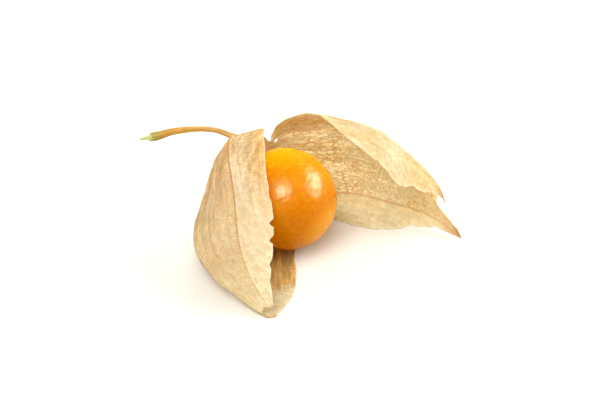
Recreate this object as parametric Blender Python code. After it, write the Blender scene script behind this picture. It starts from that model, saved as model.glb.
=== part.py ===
"""Physalis berry: the fruit in its torn papery husk, with its bent stem.

The husk is a lantern torn into two lobes that hold together only round the stem. One lobe runs
out along -Y and stands open towards +X, the other runs out along +X behind the fruit and stands
open towards -Y. The fruit lies on the floor of the husk.

Lengths in this file are millimetres, turned into metres where a mesh is made. The origin is on
the surface that the husk rests on, under the middle of the fruit, with +Z up.
"""

import bmesh
import bpy
import numpy as np
from mathutils import Matrix, Vector

MM = 0.001

# The fruit
FRUIT_RADIUS = 8.97
FRUIT_STRETCH = 1.045
FRUIT_REST_HEIGHT = 0.95
FRUIT_DIMPLE = 0.06
FRUIT_DIMPLE_SHARPNESS = 24
FRUIT_SEGMENTS = 40
FRUIT_RINGS = 22

# The husk's wall, which thins at the tips, and the place where it grows from the stem
WALL = 0.6
TIP_WALL = 0.24
TIP_LENGTH = 4.5
CALYX_BASE = np.array([-5.4, 8.8, 14.9])
STALK_AXIS = np.array([-0.50, 0.72, 0.48]) / np.linalg.norm([-0.50, 0.72, 0.48])
COLLAR_RADIUS = 1.6
COLLAR_LIFT = 0.25
RECEPTACLE_DEPTH = 1.35
RECEPTACLE_LENGTH = 1.8

# Relief on the husk
RIB_HEIGHT = 0.22
RIB_REACH = 0.13
NET_HEIGHT = 0.16
NET_PITCH = 3.4
NET_SLANT = 1.3
SOLE_BLEND = 1.5
SOLE_FLATNESS = 0.08
TOOTH_PITCH = 1.3
TOOTH_DEPTH = 0.30
TOOTH_MOST = 0.12
TEAR_SEED = 7

# Columns of the husk's faces between two ribs, as shares of the way: in a slit, by the notch, elsewhere
SLIT_STEPS = (0.0, 0.5)
NOTCH_STEPS = (0.0, 0.3, 0.65)
PANEL_STEPS = (0.0, 0.14, 0.38, 0.62, 0.86)

# Distances along the husk from the stem, at which the ribs below pass their points
STATIONS = np.array([0.0, 1.6, 5.0, 7.6, 10.5, 16.5, 23.0, 29.5, 35.5, 41.0])
ROW_PITCH = 0.95

# Each rib of the husk: where it leaves the collar, in degrees round the stem, and its points
RIBS = {
    "left_tear": (95, [(-4.0, 7.2, 20.2), (-3.9, 5.8, 20.0), (-3.7, 2.6, 19.2), (-3.3, -4.4, 18.35),
                       (-2.2, -9.6, 14.0), (-2.15, -14.0, 9.3), (-2.5, -18.0, 5.0), (-1.8, -21.2, 1.75)]),
    "left_keel": (130, [(-9.0, 7.2, 18.5), (-10.1, 5.4, 18.5), (-10.1, 2.2, 17.9), (-9.3, -4.8, 17.6),
                        (-8.5, -11.2, 14.4), (-7.6, -15.6, 9.6), (-5.3, -18.9, 5.0), (-2.7, -21.4, 1.8)]),
    "left_side": (165, [(-11.2, 5.4, 16.4), (-12.7, 3.1, 15.6), (-12.7, 0.2, 14.0), (-13.1, -6.0, 12.2),
                        (-12.9, -11.2, 9.2), (-10.7, -15.6, 6.3), (-6.8, -19.2, 3.6), (-3.4, -21.75, 1.35)]),
    "left_belly": (200, [(-11.7, 6.4, 12.8), (-14.0, 3.9, 10.8), (-15.2, 0.6, 8.6), (-16.2, -6.0, 6.4),
                         (-14.6, -11.6, 4.2), (-11.0, -16.0, 2.8), (-6.8, -19.4, 1.6), (-3.5, -22.1, 0.85)]),
    "left_sole": (230, [(-10.1, 9.2, 10.4), (-11.7, 7.8, 6.7), (-12.0, 5.0, 3.0), (-9.5, -2.0, 0.3),
                        (-8.0, -10.0, 0.3), (-5.8, -15.4, 0.3), (-4.0, -19.2, 0.3), (-2.9, -22.4, 0.4)]),
    "left_hem": (258, [(-7.8, 10.9, 9.4), (-8.0, 10.6, 6.0), (-6.2, 8.8, 3.0), (1.3, 2.2, 0.3),
                       (2.2, -6.0, 0.3), (1.8, -12.6, 0.3), (0.7, -17.2, 0.3), (-1.6, -22.0, 0.4)]),
    "right_hem": (285, [(-4.9, 12.6, 9.2), (-2.2, 12.5, 5.6), (2.0, 10.8, 2.6), (9.5, 7.0, 0.5),
                        (17.2, 4.4, 0.3), (23.5, 5.2, 0.4), (28.2, 4.2, 0.6), (32.1, 0.9, 0.4)]),
    "right_crease": (310, [(-3.3, 13.3, 10.4), (-0.7, 14.0, 7.4), (3.5, 13.2, 4.4), (11.0, 12.4, 3.0),
                           (17.5, 10.4, 2.8), (23.2, 8.2, 2.3), (28.0, 5.4, 1.6), (32.2, 1.1, 0.5)]),
    "right_back": (332, [(-2.75, 13.2, 12.0), (-0.4, 14.7, 10.8), (4.0, 15.6, 9.0), (11.0, 15.2, 9.0),
                         (17.5, 13.2, 8.0), (23.2, 10.5, 6.2), (27.8, 6.0, 3.6), (32.3, 1.3, 0.7)]),
    "right_shoulder": (355, [(-2.4, 12.9, 13.2), (-0.6, 14.6, 14.2), (4.4, 16.0, 14.4),
                             (11.0, 15.0, 15.0), (17.5, 13.0, 13.5), (23.0, 10.0, 10.4), (27.4, 5.4, 5.5),
                             (32.35, 1.5, 0.95)]),
    "right_ridge": (380, [(-2.4, 12.0, 14.5), (-1.4, 13.5, 16.25), (3.8, 14.8, 17.7), (10.0, 12.0, 19.3),
                          (16.5, 8.5, 19.0), (22.0, 6.5, 15.3), (26.5, 5.0, 10.9), (29.2, 2.2, 7.2)]),
    "right_tear": (405, [(-2.6, 10.6, 15.8), (-2.2, 11.6, 17.8), (2.4, 13.0, 19.8), (9.6, 7.6, 19.3),
                         (16.9, 1.9, 15.95), (20.4, 1.5, 11.8), (26.0, 2.6, 9.2), (28.8, 1.8, 6.9)]),
}

# The notch that splits the right lobe's end into its tip and a sliver beside it
NOTCH_START = 33.5
NOTCH_WIDTH = 0.12
NOTCH_FLOOR = [(27.9, 4.9, 6.5), (32.4, 1.7, 1.15)]
NOTCH_ROOF = [(27.2, 5.0, 8.4), (29.5, 2.5, 6.9)]

# Slits that part the lobes: the ribs on either side, and how far from the stem each one starts
SLITS = {("left_hem", "right_hem"): 6.0, ("notch_floor", "notch_roof"): NOTCH_START,
         ("right_tear", "left_tear"): 3.4}

# Ribs that stand out from the paper, and how sharply the paper turns over any rib
RAISED_RIBS = ("left_keel", "left_side", "left_belly", "left_sole", "right_crease", "right_back",
               "right_shoulder", "right_ridge")
RIB_ANGULARITY = 0.3

# The stem: points from its torn free end to the collar, with the radius at each
STEM_POINTS = [((-27.4, 15.8, 12.7), 0.20), ((-26.4, 15.8, 12.95), 0.46), ((-25.8, 15.8, 13.05), 0.68),
               ((-24.9, 15.8, 13.25), 0.84), ((-23.7, 15.75, 13.6), 0.78), ((-22.4, 15.7, 14.1), 0.68),
               ((-19.8, 15.5, 14.85), 0.57), ((-15.9, 14.9, 15.5), 0.46), ((-12.8, 13.9, 15.75), 0.48),
               ((-10.0, 12.4, 15.5), 0.50), ((-8.1, 11.3, 15.65), 0.56), ((-6.9, 10.6, 15.9), 0.64)]
STEM_FOOT_RADIUS = 1.0
STEM_ANKLE = 0.5
STEM_ANKLE_RADIUS = 0.75
STEM_RIDGES = 5
STEM_RIDGE = 0.05
STEM_END = 0.2
STEM_SIDES = 12
STEM_ROWS = 46
STEM_GAP = 0.35


def clear_scene():
    """Take every object out of the open scene."""
    for thing in list(bpy.data.objects):
        bpy.data.objects.remove(thing, do_unlink=True)


def make_material(name, colour, roughness):
    """A plain Principled material."""
    material = bpy.data.materials.new(name)
    material.use_nodes = True
    shader = material.node_tree.nodes["Principled BSDF"]
    shader.inputs["Base Color"].default_value = (*colour, 1.0)
    shader.inputs["Roughness"].default_value = roughness
    shader.inputs["Metallic"].default_value = 0.0
    return material


def add_object(name, points, faces, material):
    """Make one object from points in millimetres and its faces."""
    mesh = bpy.data.meshes.new(name)
    mesh.from_pydata((np.asarray(points) * MM).tolist(), [], faces)
    mesh.materials.append(material)
    mesh.validate()
    mesh.update()
    mesh.shade_smooth()
    thing = bpy.data.objects.new(name, mesh)
    bpy.context.scene.collection.objects.link(thing)
    return thing


def ease(x):
    """A smooth step from 0 to 1 as x goes from 0 to 1."""
    x = np.clip(x, 0.0, 1.0)
    return x * x * (3.0 - 2.0 * x)


def natural_spline(knots, values, at):
    """Read the natural cubic spline through values[k] at knots[k] at each place in at."""
    count = len(knots)
    gaps = np.diff(knots)
    flat = values.reshape(count, -1)
    system = np.eye(count)
    slopes = np.zeros_like(flat)
    for k in range(1, count - 1):
        system[k, k - 1:k + 2] = gaps[k - 1], 2.0 * (gaps[k - 1] + gaps[k]), gaps[k]
        rise = (flat[k + 1] - flat[k]) / gaps[k] - (flat[k] - flat[k - 1]) / gaps[k - 1]
        slopes[k] = 6.0 * rise
    bends = np.linalg.solve(system, slopes)
    k = np.clip(np.searchsorted(knots, at, side="right") - 1, 0, count - 2)
    gap = gaps[k][:, None]
    before = (knots[k + 1] - at)[:, None]
    after = (at - knots[k])[:, None]
    curve = (bends[k] * before ** 3 + bends[k + 1] * after ** 3) / (6.0 * gap)
    curve += (flat[k] / gap - bends[k] * gap / 6.0) * before
    curve += (flat[k + 1] / gap - bends[k + 1] * gap / 6.0) * after
    return curve.reshape(len(at), *values.shape[1:])


def collar_point(degrees):
    """The point on the collar's ring at an angle round the stalk."""
    sideways = np.cross(STALK_AXIS, (0.0, 0.0, 1.0))
    sideways /= np.linalg.norm(sideways)
    upwards = np.cross(sideways, STALK_AXIS)
    angle = np.radians(degrees)
    outwards = np.cos(angle) * sideways + np.sin(angle) * upwards
    return CALYX_BASE + COLLAR_RADIUS * outwards + COLLAR_LIFT * STALK_AXIS


def rib_table():
    """All ribs in order round the husk, each with a point at every station."""
    table = {}
    for name, (degrees, points) in RIBS.items():
        table[name] = np.array([CALYX_BASE, collar_point(degrees), *points])
        if name == "right_shoulder":
            table["notch_floor"] = None
            table["notch_roof"] = None
    shoulder = table["right_shoulder"]
    ridge = table["right_ridge"]
    middle = 0.5 * (shoulder + ridge)
    half_width = 0.5 * NOTCH_WIDTH * (ridge - shoulder)
    table["notch_floor"] = middle - half_width
    table["notch_roof"] = middle + half_width
    table["notch_floor"][-2:] = NOTCH_FLOOR
    table["notch_roof"][-2:] = NOTCH_ROOF
    return table


class HuskSheet:
    """The husk as a surface without thickness, read at a row and a place round the husk."""

    def __init__(self, rows):
        table = rib_table()
        self.names = list(table)
        self.rows = rows
        stations = np.array(list(table.values())).transpose(1, 0, 2)
        self.ribs = natural_spline(STATIONS, stations, rows)
        self.set_tangents()

    def joined_after(self, rib):
        """How far each row is still joined across from a rib to the next one, 0 to 1."""
        pair = (self.names[rib], self.names[(rib + 1) % len(self.names)])
        if pair not in SLITS:
            return np.ones(len(self.rows))
        return ease((SLITS[pair] - self.rows) / 2.0)

    def set_tangents(self):
        """Work out the direction round the husk on either side of each rib."""
        chords = np.roll(self.ribs, -1, axis=1) - self.ribs
        before = np.roll(chords, 1, axis=1)
        joins = np.array([self.joined_after(rib) for rib in range(len(self.names))]).T
        self.leaving = self.blend(chords, before, np.roll(joins, 1, axis=1))
        self.arriving = self.blend(before, chords, joins)

    @staticmethod
    def blend(own, other, joined):
        """Round off the turn from one span to the next where the two are joined."""
        mean = own + other
        size = np.linalg.norm(own, axis=2, keepdims=True)
        mean *= size / np.maximum(np.linalg.norm(mean, axis=2, keepdims=True), 1e-6)
        rounded = (1.0 - RIB_ANGULARITY) * mean + RIB_ANGULARITY * own
        return joined[..., None] * rounded + (1.0 - joined[..., None]) * own

    def read(self, place):
        """Points at place[row, column], counted in ribs round the husk from the left tear."""
        count = len(self.names)
        rib = np.floor(place).astype(int) % count
        step = (place - np.floor(place))[..., None]
        row = np.arange(len(self.rows))[:, None]
        following = (rib + 1) % count
        square = step * step
        cube = square * step
        points = (2.0 * cube - 3.0 * square + 1.0) * self.ribs[row, rib]
        points += (cube - 2.0 * square + step) * self.leaving[row, rib]
        points += (3.0 * square - 2.0 * cube) * self.ribs[row, following]
        points += (cube - square) * self.arriving[row, following]
        return points


def column_steps(names):
    """The places of the columns round the husk: close beside each rib, wider between ribs."""
    columns = []
    for rib, name in enumerate(names):
        following = names[(rib + 1) % len(names)]
        if (name, following) in SLITS:
            steps = SLIT_STEPS
        elif following == "notch_floor" or name == "notch_roof":
            steps = NOTCH_STEPS
        else:
            steps = PANEL_STEPS
        columns.extend(rib + step for step in steps)
    return np.array(columns)


def fray_edges(sheet, place):
    """Move the columns beside each slit in from the edge by a torn, toothed depth."""
    random = np.random.default_rng(TEAR_SEED)
    teeth_at = np.arange(0.0, STATIONS[-1] + TOOTH_PITCH, TOOTH_PITCH)
    for (ending, starting), slit_start in SLITS.items():
        opened = ease((sheet.rows - slit_start) / 2.0)
        for name, direction in ((ending, -1.0), (starting, 1.0)):
            rib = sheet.names.index(name)
            neighbour = (rib + int(direction)) % len(sheet.names)
            span = np.linalg.norm(sheet.ribs[:, neighbour] - sheet.ribs[:, rib], axis=1)
            teeth = random.uniform(0.0, 1.0, len(teeth_at)) ** 2
            depth = 2.0 * TOOTH_DEPTH * np.interp(sheet.rows, teeth_at, teeth) * opened
            depth = np.minimum(depth / span, TOOTH_MOST)
            away = (place[0] - rib) * direction
            beside = np.clip(1.0 - away, 0.0, 1.0) * (away >= 0.0)
            place += direction * depth[:, None] * beside
    return place


def net_relief(sheet, place):
    """Height of the raised net: veins that leave the ribs aslant and meet between them."""
    row = sheet.rows[:, None]
    from_rib = 0.5 - np.abs(place - np.floor(place) - 0.5)
    slant = np.cos(2.0 * np.pi * (row / NET_PITCH - NET_SLANT * from_rib))
    fade = ease((row - 3.0) / 4.0) * ease((STATIONS[-1] - row) / 7.0)
    return NET_HEIGHT * slant * np.minimum(4.0 * from_rib, 1.0) * fade


def rib_relief(sheet, place):
    """Extra height of the raised ribs on the husk's outer face."""
    relief = np.zeros_like(place)
    fade = ease((sheet.rows[:, None] - 2.0) / 3.0) * ease((STATIONS[-1] - sheet.rows[:, None]) / 4.0)
    for name in RAISED_RIBS:
        distance = np.abs(place - sheet.names.index(name))
        relief += RIB_HEIGHT * np.clip(1.0 - distance / RIB_REACH, 0.0, 1.0) * fade
    return relief


def husk_faces(sheet, place):
    """Triangles of the sheet as (row, column) pairs, split alike everywhere."""
    row_count, column_count = place.shape
    triangles = []
    for column in range(column_count):
        following = (column + 1) % column_count
        rib = int(place[0, column])
        pair = (sheet.names[rib], sheet.names[(rib + 1) % len(sheet.names)])
        last = SLITS.get(pair, STATIONS[-1])
        for row in range(row_count - 1):
            if sheet.rows[row + 1] > last + 0.01:
                break
            corners = [(row, column), (row, following), (row + 1, following), (row + 1, column)]
            triangles.append((corners[0], corners[1], corners[2]))
            triangles.append((corners[0], corners[2], corners[3]))
    return triangles


def vertex_normals(points, triangles):
    """Unit normals at the points, averaged over the triangles round each."""
    corners = points[triangles]
    across = np.cross(corners[:, 1] - corners[:, 0], corners[:, 2] - corners[:, 0])
    normals = np.zeros_like(points)
    for corner in range(3):
        np.add.at(normals, triangles[:, corner], across)
    return normals / np.maximum(np.linalg.norm(normals, axis=1, keepdims=True), 1e-12)


def open_edges(triangles):
    """Directed edges that only one triangle has."""
    edges = {(a, b) for a, b, c in triangles} | {(b, c) for a, b, c in triangles}
    edges |= {(c, a) for a, b, c in triangles}
    return sorted((a, b) for a, b in edges if (b, a) not in edges)


def build_husk(material):
    """The husk: one wall round both lobes, closed at the collar, with a receptacle inside."""
    rows = np.arange(STATIONS[1], STATIONS[-1], ROW_PITCH)
    rows = np.append(rows, STATIONS[-1])
    sheet = HuskSheet(rows)
    place = np.tile(column_steps(sheet.names), (len(rows), 1))
    grid_faces = husk_faces(sheet, place)
    place = fray_edges(sheet, place)
    grid = sheet.read(place)
    column_count = place.shape[1]

    numbers = {}
    for triangle in grid_faces:
        for corner in triangle:
            numbers.setdefault(corner, len(numbers))
    pole = len(numbers)
    cap = [(pole, numbers[0, (column + 1) % column_count], numbers[0, column])
           for column in range(column_count)]
    triangles = [tuple(numbers[corner] for corner in triangle) for triangle in grid_faces] + cap
    triangles = np.array(triangles)
    row_of = np.array([row for row, column in numbers])
    column_of = np.array([column for row, column in numbers])
    middle = np.vstack([grid[row_of, column_of], CALYX_BASE])

    normals = vertex_normals(middle, triangles)
    if np.sum(normals * (middle - [0.0, 0.0, FRUIT_RADIUS])) < 0.0:
        normals = -normals
    else:
        triangles = triangles[:, ::-1]
    net = np.append(net_relief(sheet, place)[row_of, column_of], 0.0)
    net *= ease((middle[:, 2] - 0.5 * WALL) / SOLE_BLEND)
    ribs = np.append(rib_relief(sheet, place)[row_of, column_of], 0.0)
    middle = middle + net[:, None] * normals
    middle[:, 2] = np.maximum(middle[:, 2], 0.5 * WALL)
    along = np.append(rows[row_of], 0.0)
    thinning = ease((along - STATIONS[-1] + TIP_LENGTH) / TIP_LENGTH)
    half_wall = 0.5 * (WALL + (TIP_WALL - WALL) * thinning)
    outer = middle + (half_wall + ribs)[:, None] * normals
    outer[:, 2] = np.where(outer[:, 2] < SOLE_FLATNESS, 0.0, outer[:, 2])
    inner = middle - half_wall[:, None] * normals
    inner -= RECEPTACLE_DEPTH * (1.0 - ease((along - STATIONS[1]) / RECEPTACLE_LENGTH))[:, None] * STALK_AXIS

    count = len(middle)
    faces = [(a, c, b) for a, b, c in triangles.tolist()]
    faces += [(a + count, b + count, c + count) for a, b, c in triangles.tolist()]
    for a, b in open_edges(triangles.tolist()):
        faces.append((a, b, b + count))
        faces.append((a, b + count, a + count))
    return add_object("husk", np.vstack([outer, inner]), faces, material)


def build_fruit(material):
    """The fruit: a ball drawn out slightly along its stalk, dimpled where the stalk joined it."""
    mesh = bmesh.new()
    bmesh.ops.create_uvsphere(mesh, u_segments=FRUIT_SEGMENTS, v_segments=FRUIT_RINGS,
                              radius=FRUIT_RADIUS * MM)
    turn = Vector(STALK_AXIS).to_track_quat("Z", "Y").to_matrix().to_4x4()
    for corner in mesh.verts:
        closeness = max(corner.co.z / (FRUIT_RADIUS * MM), 0.0) ** FRUIT_DIMPLE_SHARPNESS
        corner.co.z *= FRUIT_STRETCH - FRUIT_DIMPLE * closeness
    bmesh.ops.transform(mesh, matrix=turn, verts=mesh.verts)
    lowest = min(corner.co.z for corner in mesh.verts)
    lift = Matrix.Translation((0.0, 0.0, FRUIT_REST_HEIGHT * MM - lowest))
    bmesh.ops.transform(mesh, matrix=lift, verts=mesh.verts)
    bmesh.ops.triangulate(mesh, faces=mesh.faces)
    data = bpy.data.meshes.new("berry")
    mesh.to_mesh(data)
    mesh.free()
    data.materials.append(material)
    data.shade_smooth()
    fruit = bpy.data.objects.new("berry", data)
    bpy.context.scene.collection.objects.link(fruit)
    return fruit


def stem_path():
    """Points and radii down the stem, ending square on the collar."""
    points = [np.array(point) for point, radius in STEM_POINTS]
    radii = [radius for point, radius in STEM_POINTS]
    foot = CALYX_BASE + (0.5 * WALL + COLLAR_LIFT + STEM_GAP) * STALK_AXIS
    points += [foot + STEM_ANKLE * STALK_AXIS, foot]
    radii += [STEM_ANKLE_RADIUS, STEM_FOOT_RADIUS]
    points = np.array(points)
    lengths = np.concatenate([[0.0], np.cumsum(np.linalg.norm(np.diff(points, axis=0), axis=1))])
    at = np.linspace(0.0, lengths[-1], STEM_ROWS)
    path = natural_spline(lengths, points, at)
    return path, np.interp(at, lengths, radii)


def build_stem(material):
    """The stem: a tapering tube with shallow ridges, thick and torn at its free end."""
    path, radii = stem_path()
    along = np.gradient(path, axis=0)
    along /= np.linalg.norm(along, axis=1, keepdims=True)
    sideways = np.cross(along, (0.0, 0.0, 1.0))
    sideways /= np.linalg.norm(sideways, axis=1, keepdims=True)
    upwards = np.cross(sideways, along)
    angles = np.linspace(0.0, 2.0 * np.pi, STEM_SIDES, endpoint=False)
    ridges = 1.0 + STEM_RIDGE * np.cos(STEM_RIDGES * angles)
    around = (np.cos(angles) * ridges)[None, :, None] * sideways[:, None]
    around = around + (np.sin(angles) * ridges)[None, :, None] * upwards[:, None]
    rings = path[:, None] + radii[:, None, None] * around
    points = np.vstack([rings.reshape(-1, 3), path[0] - STEM_END * along[0], path[-1]])
    start, end = len(points) - 2, len(points) - 1
    faces = []
    for side in range(STEM_SIDES):
        following = (side + 1) % STEM_SIDES
        for row in range(STEM_ROWS - 1):
            low, high = row * STEM_SIDES, (row + 1) * STEM_SIDES
            faces.append((low + side, low + following, high + following, high + side))
        last = (STEM_ROWS - 1) * STEM_SIDES
        faces.append((start, following, side))
        faces.append((end, last + side, last + following))
    stem = add_object("stem", points, faces, material)
    mesh = bmesh.new()
    mesh.from_mesh(stem.data)
    bmesh.ops.recalc_face_normals(mesh, faces=mesh.faces)
    mesh.to_mesh(stem.data)
    mesh.free()
    return stem


def main():
    """Build the fruit, the husk and the stem."""
    clear_scene()
    build_fruit(make_material("berry_skin", (0.90, 0.36, 0.01), 0.22))
    build_husk(make_material("husk_paper", (0.78, 0.55, 0.30), 0.65))
    build_stem(make_material("stem_bark", (0.66, 0.40, 0.08), 0.55))


if __name__ == "__main__":
    main()
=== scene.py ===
"""Physalis berry: the glossy fruit, its torn papery husk and its bent stem, dressed for a studio.

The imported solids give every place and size. Each solid is replaced by a fine surface that keeps
its form: the husk by two thin paper lobes with ribs, a raised net of veins and ragged edges, the
fruit by a finely dimpled skin, and the stem by a ridged stalk with a torn green end.

Shapes are worked out in millimetres and turned into metres where a mesh is filled.
"""

from __future__ import annotations

import logging
from dataclasses import dataclass, field
from enum import Enum

import bpy
import numpy as np
from mathutils import Matrix, Vector


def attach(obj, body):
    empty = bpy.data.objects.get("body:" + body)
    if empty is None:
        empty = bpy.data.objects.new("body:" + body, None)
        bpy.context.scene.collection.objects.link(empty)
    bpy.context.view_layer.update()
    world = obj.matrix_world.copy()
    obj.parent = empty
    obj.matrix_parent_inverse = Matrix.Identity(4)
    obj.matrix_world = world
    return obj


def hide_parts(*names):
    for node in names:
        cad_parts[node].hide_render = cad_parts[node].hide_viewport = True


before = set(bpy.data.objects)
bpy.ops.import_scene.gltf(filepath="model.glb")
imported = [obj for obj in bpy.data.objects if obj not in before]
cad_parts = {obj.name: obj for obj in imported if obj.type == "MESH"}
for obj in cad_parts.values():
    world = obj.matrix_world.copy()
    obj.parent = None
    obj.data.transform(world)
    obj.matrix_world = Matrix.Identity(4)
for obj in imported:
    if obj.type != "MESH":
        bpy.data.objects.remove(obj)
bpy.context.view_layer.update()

MM = 0.001
LOG = logging.getLogger("physalis")


class Lobe(Enum):
    """The two halves of the torn husk."""

    LEFT = "husk_left_lobe"
    RIGHT = "husk_right_lobe"


# --- Shared mathematics ---


def ease(x: np.ndarray) -> np.ndarray:
    """Give the smooth step 3x^2 - 2x^3 of x, held between 0 and 1."""
    x = np.clip(x, 0.0, 1.0)
    return x * x * (3.0 - 2.0 * x)


def bump_of(distance: np.ndarray, width: float | np.ndarray) -> np.ndarray:
    """Give a bell of height 1 and the given half width: exp(-(distance / width)^2)."""
    return np.exp(-(distance / width) ** 2)


def nearness(distance: np.ndarray, reach: float) -> np.ndarray:
    """Give 1 at no distance, falling by the smooth step to 0 at the reach."""
    return ease(1.0 - distance / reach)


@dataclass(frozen=True)
class Ramp:
    """A smooth step that is 0 at one place and 1 at a given length from it."""

    zero: float
    length: float

    def beyond(self, x: np.ndarray) -> np.ndarray:
        """Give the step of places beyond the zero."""
        return ease((x - self.zero) / self.length)

    def before(self, x: np.ndarray) -> np.ndarray:
        """Give the step of places before the zero."""
        return ease((self.zero - x) / self.length)


def unit(vectors: np.ndarray) -> np.ndarray:
    """Scale vectors, held along the last axis, to length 1."""
    return vectors / np.maximum(np.linalg.norm(vectors, axis=-1, keepdims=True), 1e-9)


def natural_spline(knots: np.ndarray, values: np.ndarray, at: np.ndarray) -> np.ndarray:
    """Read the natural cubic spline through some points.

    The bends M at the knots solve the usual three-term equations with M = 0 at both ends, and
    between two knots the curve is the cubic that has those bends and passes both points.

    Args:
        knots: Rising places of the points, one for each.
        values: The points, with the first axis along the knots.
        at: Places to read.

    Returns:
        The curve's points, with the first axis along `at`.
    """
    count = len(knots)
    gaps = np.diff(knots)
    flat = values.reshape(count, -1)
    rises = np.diff(flat, axis=0) / gaps[:, None]
    system = np.eye(count)
    inside = np.arange(1, count - 1)
    system[inside, inside - 1] = gaps[:-1]
    system[inside, inside] = 2.0 * (gaps[:-1] + gaps[1:])
    system[inside, inside + 1] = gaps[1:]
    wanted = np.zeros_like(flat)
    wanted[1:-1] = 6.0 * np.diff(rises, axis=0)
    bends = np.linalg.solve(system, wanted)
    k = np.clip(np.searchsorted(knots, at, side="right") - 1, 0, count - 2)
    gap = gaps[k][:, None]
    left, right = (knots[k + 1] - at)[:, None], (at - knots[k])[:, None]
    curve = (bends[k] * left ** 3 + bends[k + 1] * right ** 3) / (6.0 * gap)
    curve += (flat[k] / gap - bends[k] * gap / 6.0) * left
    curve += (flat[k + 1] / gap - bends[k + 1] * gap / 6.0) * right
    return curve.reshape(len(at), *values.shape[1:])


@dataclass(frozen=True)
class LatticeNoise:
    """Smooth seeded noise between -1 and 1, as random heights on a square lattice.

    Between the lattice's points the height is blended with the smooth step in both directions.
    """

    seed: int
    size: int = 257

    def read(self, x: np.ndarray, y: np.ndarray) -> np.ndarray:
        """Read the noise.

        Args:
            x: Places along the first direction, in lattice steps.
            y: Places along the second direction, in lattice steps.

        Returns:
            Heights in the shape of x and y.
        """
        heights = np.random.default_rng(self.seed).uniform(-1.0, 1.0, (self.size, self.size))
        column, row = np.floor(x).astype(int), np.floor(y).astype(int)
        across, along = ease(x - column), ease(y - row)
        low = heights[column % self.size, row % self.size] * (1.0 - across)
        low += heights[(column + 1) % self.size, row % self.size] * across
        high = heights[column % self.size, (row + 1) % self.size] * (1.0 - across)
        high += heights[(column + 1) % self.size, (row + 1) % self.size] * across
        return low * (1.0 - along) + high * along


@dataclass(frozen=True)
class CellNet:
    """A net of borders between cells, each grown round one seeded point of a jittered lattice."""

    seed: int
    jitter: float = 0.85
    size: int = 128

    def border_distance(self, x: np.ndarray, y: np.ndarray) -> np.ndarray:
        """Measure how far each place is from the nearest border between two cells.

        The nearest cell point is found among the 3 by 3 lattice cells round a place. The distance
        to the border with another point is the distance along the line that joins the two to its
        middle, and the least of these over 5 by 5 lattice cells is kept.

        Args:
            x: Places along the first direction, in cells.
            y: Places along the second direction, in cells.

        Returns:
            Distances in cells.
        """
        offsets = np.random.default_rng(self.seed).uniform(-0.5, 0.5, (self.size, self.size, 2))
        column, row = np.floor(x).astype(int), np.floor(y).astype(int)

        def towards(i: int, j: int) -> np.ndarray:
            """Give the vectors from the places to the points of the lattice cells (i, j) away."""
            offset = self.jitter * offsets[(column + i) % self.size, (row + j) % self.size]
            point = np.stack([column + i + 0.5, row + j + 0.5], axis=-1) + offset
            return point - np.stack([x, y], axis=-1)

        # Longer than the way to any point of the lattice cells that are looked at
        nearest = np.full((*x.shape, 2), 9.0)
        for i in (-1, 0, 1):
            for j in (-1, 0, 1):
                vector = towards(i, j)
                closer = (vector ** 2).sum(-1) < (nearest ** 2).sum(-1)
                nearest[closer] = vector[closer]
        least = np.full(x.shape, 9.0)
        for i in (-2, -1, 0, 1, 2):
            for j in (-2, -1, 0, 1, 2):
                vector = towards(i, j)
                between = vector - nearest
                apart = np.linalg.norm(between, axis=-1)
                border = (0.5 * (vector + nearest) * between).sum(-1) / np.maximum(apart, 1e-6)
                least = np.where(apart > 1e-4, np.minimum(least, border), least)
        return least


# --- Mesh filling ---


def make_piece(name: str, points: np.ndarray, quads: np.ndarray,
               triangles: np.ndarray = np.empty((0, 3), dtype=int)) -> bpy.types.Object:
    """Fill a mesh object from arrays.

    Args:
        name: The piece's name.
        points: Points in millimetres, one row each.
        quads: Faces with four corners, one row each.
        triangles: Faces with three corners, if there are any.

    Returns:
        The object, at the origin, shaded smooth.
    """
    corners = np.concatenate([quads.ravel(), triangles.ravel()]).astype(np.int32)
    sizes = np.concatenate([np.full(len(quads), 4), np.full(len(triangles), 3)])
    starts = np.concatenate([[0], np.cumsum(sizes)[:-1]]).astype(np.int32)
    mesh = bpy.data.meshes.new(name)
    mesh.vertices.add(len(points))
    mesh.vertices.foreach_set("co", (points * MM).astype(np.float32).ravel())
    mesh.loops.add(len(corners))
    mesh.loops.foreach_set("vertex_index", corners)
    mesh.polygons.add(len(sizes))
    mesh.polygons.foreach_set("loop_start", starts)
    mesh.update(calc_edges=True)
    mesh.validate()
    mesh.shade_smooth()
    piece = bpy.data.objects.new(name, mesh)
    bpy.context.scene.collection.objects.link(piece)
    return piece


def paint(piece: bpy.types.Object, name: str, values: np.ndarray) -> None:
    """Store one number for each point of a piece.

    Args:
        piece: The mesh object.
        name: The attribute's name.
        values: One number for each point.
    """
    layer = piece.data.attributes.new(name, "FLOAT", "POINT")
    layer.data.foreach_set("value", values.astype(np.float32))


def lay_map(piece: bpy.types.Object, across: np.ndarray, along: np.ndarray) -> None:
    """Give a piece a UV map from two numbers at each point.

    Args:
        piece: The mesh object.
        across: First coordinate of each point.
        along: Second coordinate of each point.
    """
    mesh = piece.data
    corner = np.empty(len(mesh.loops), dtype=np.int32)
    mesh.loops.foreach_get("vertex_index", corner)
    places = np.stack([across[corner], along[corner]], 1)
    layer = mesh.uv_layers.new(name="paper")
    layer.data.foreach_set("uv", places.astype(np.float32).ravel())


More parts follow.
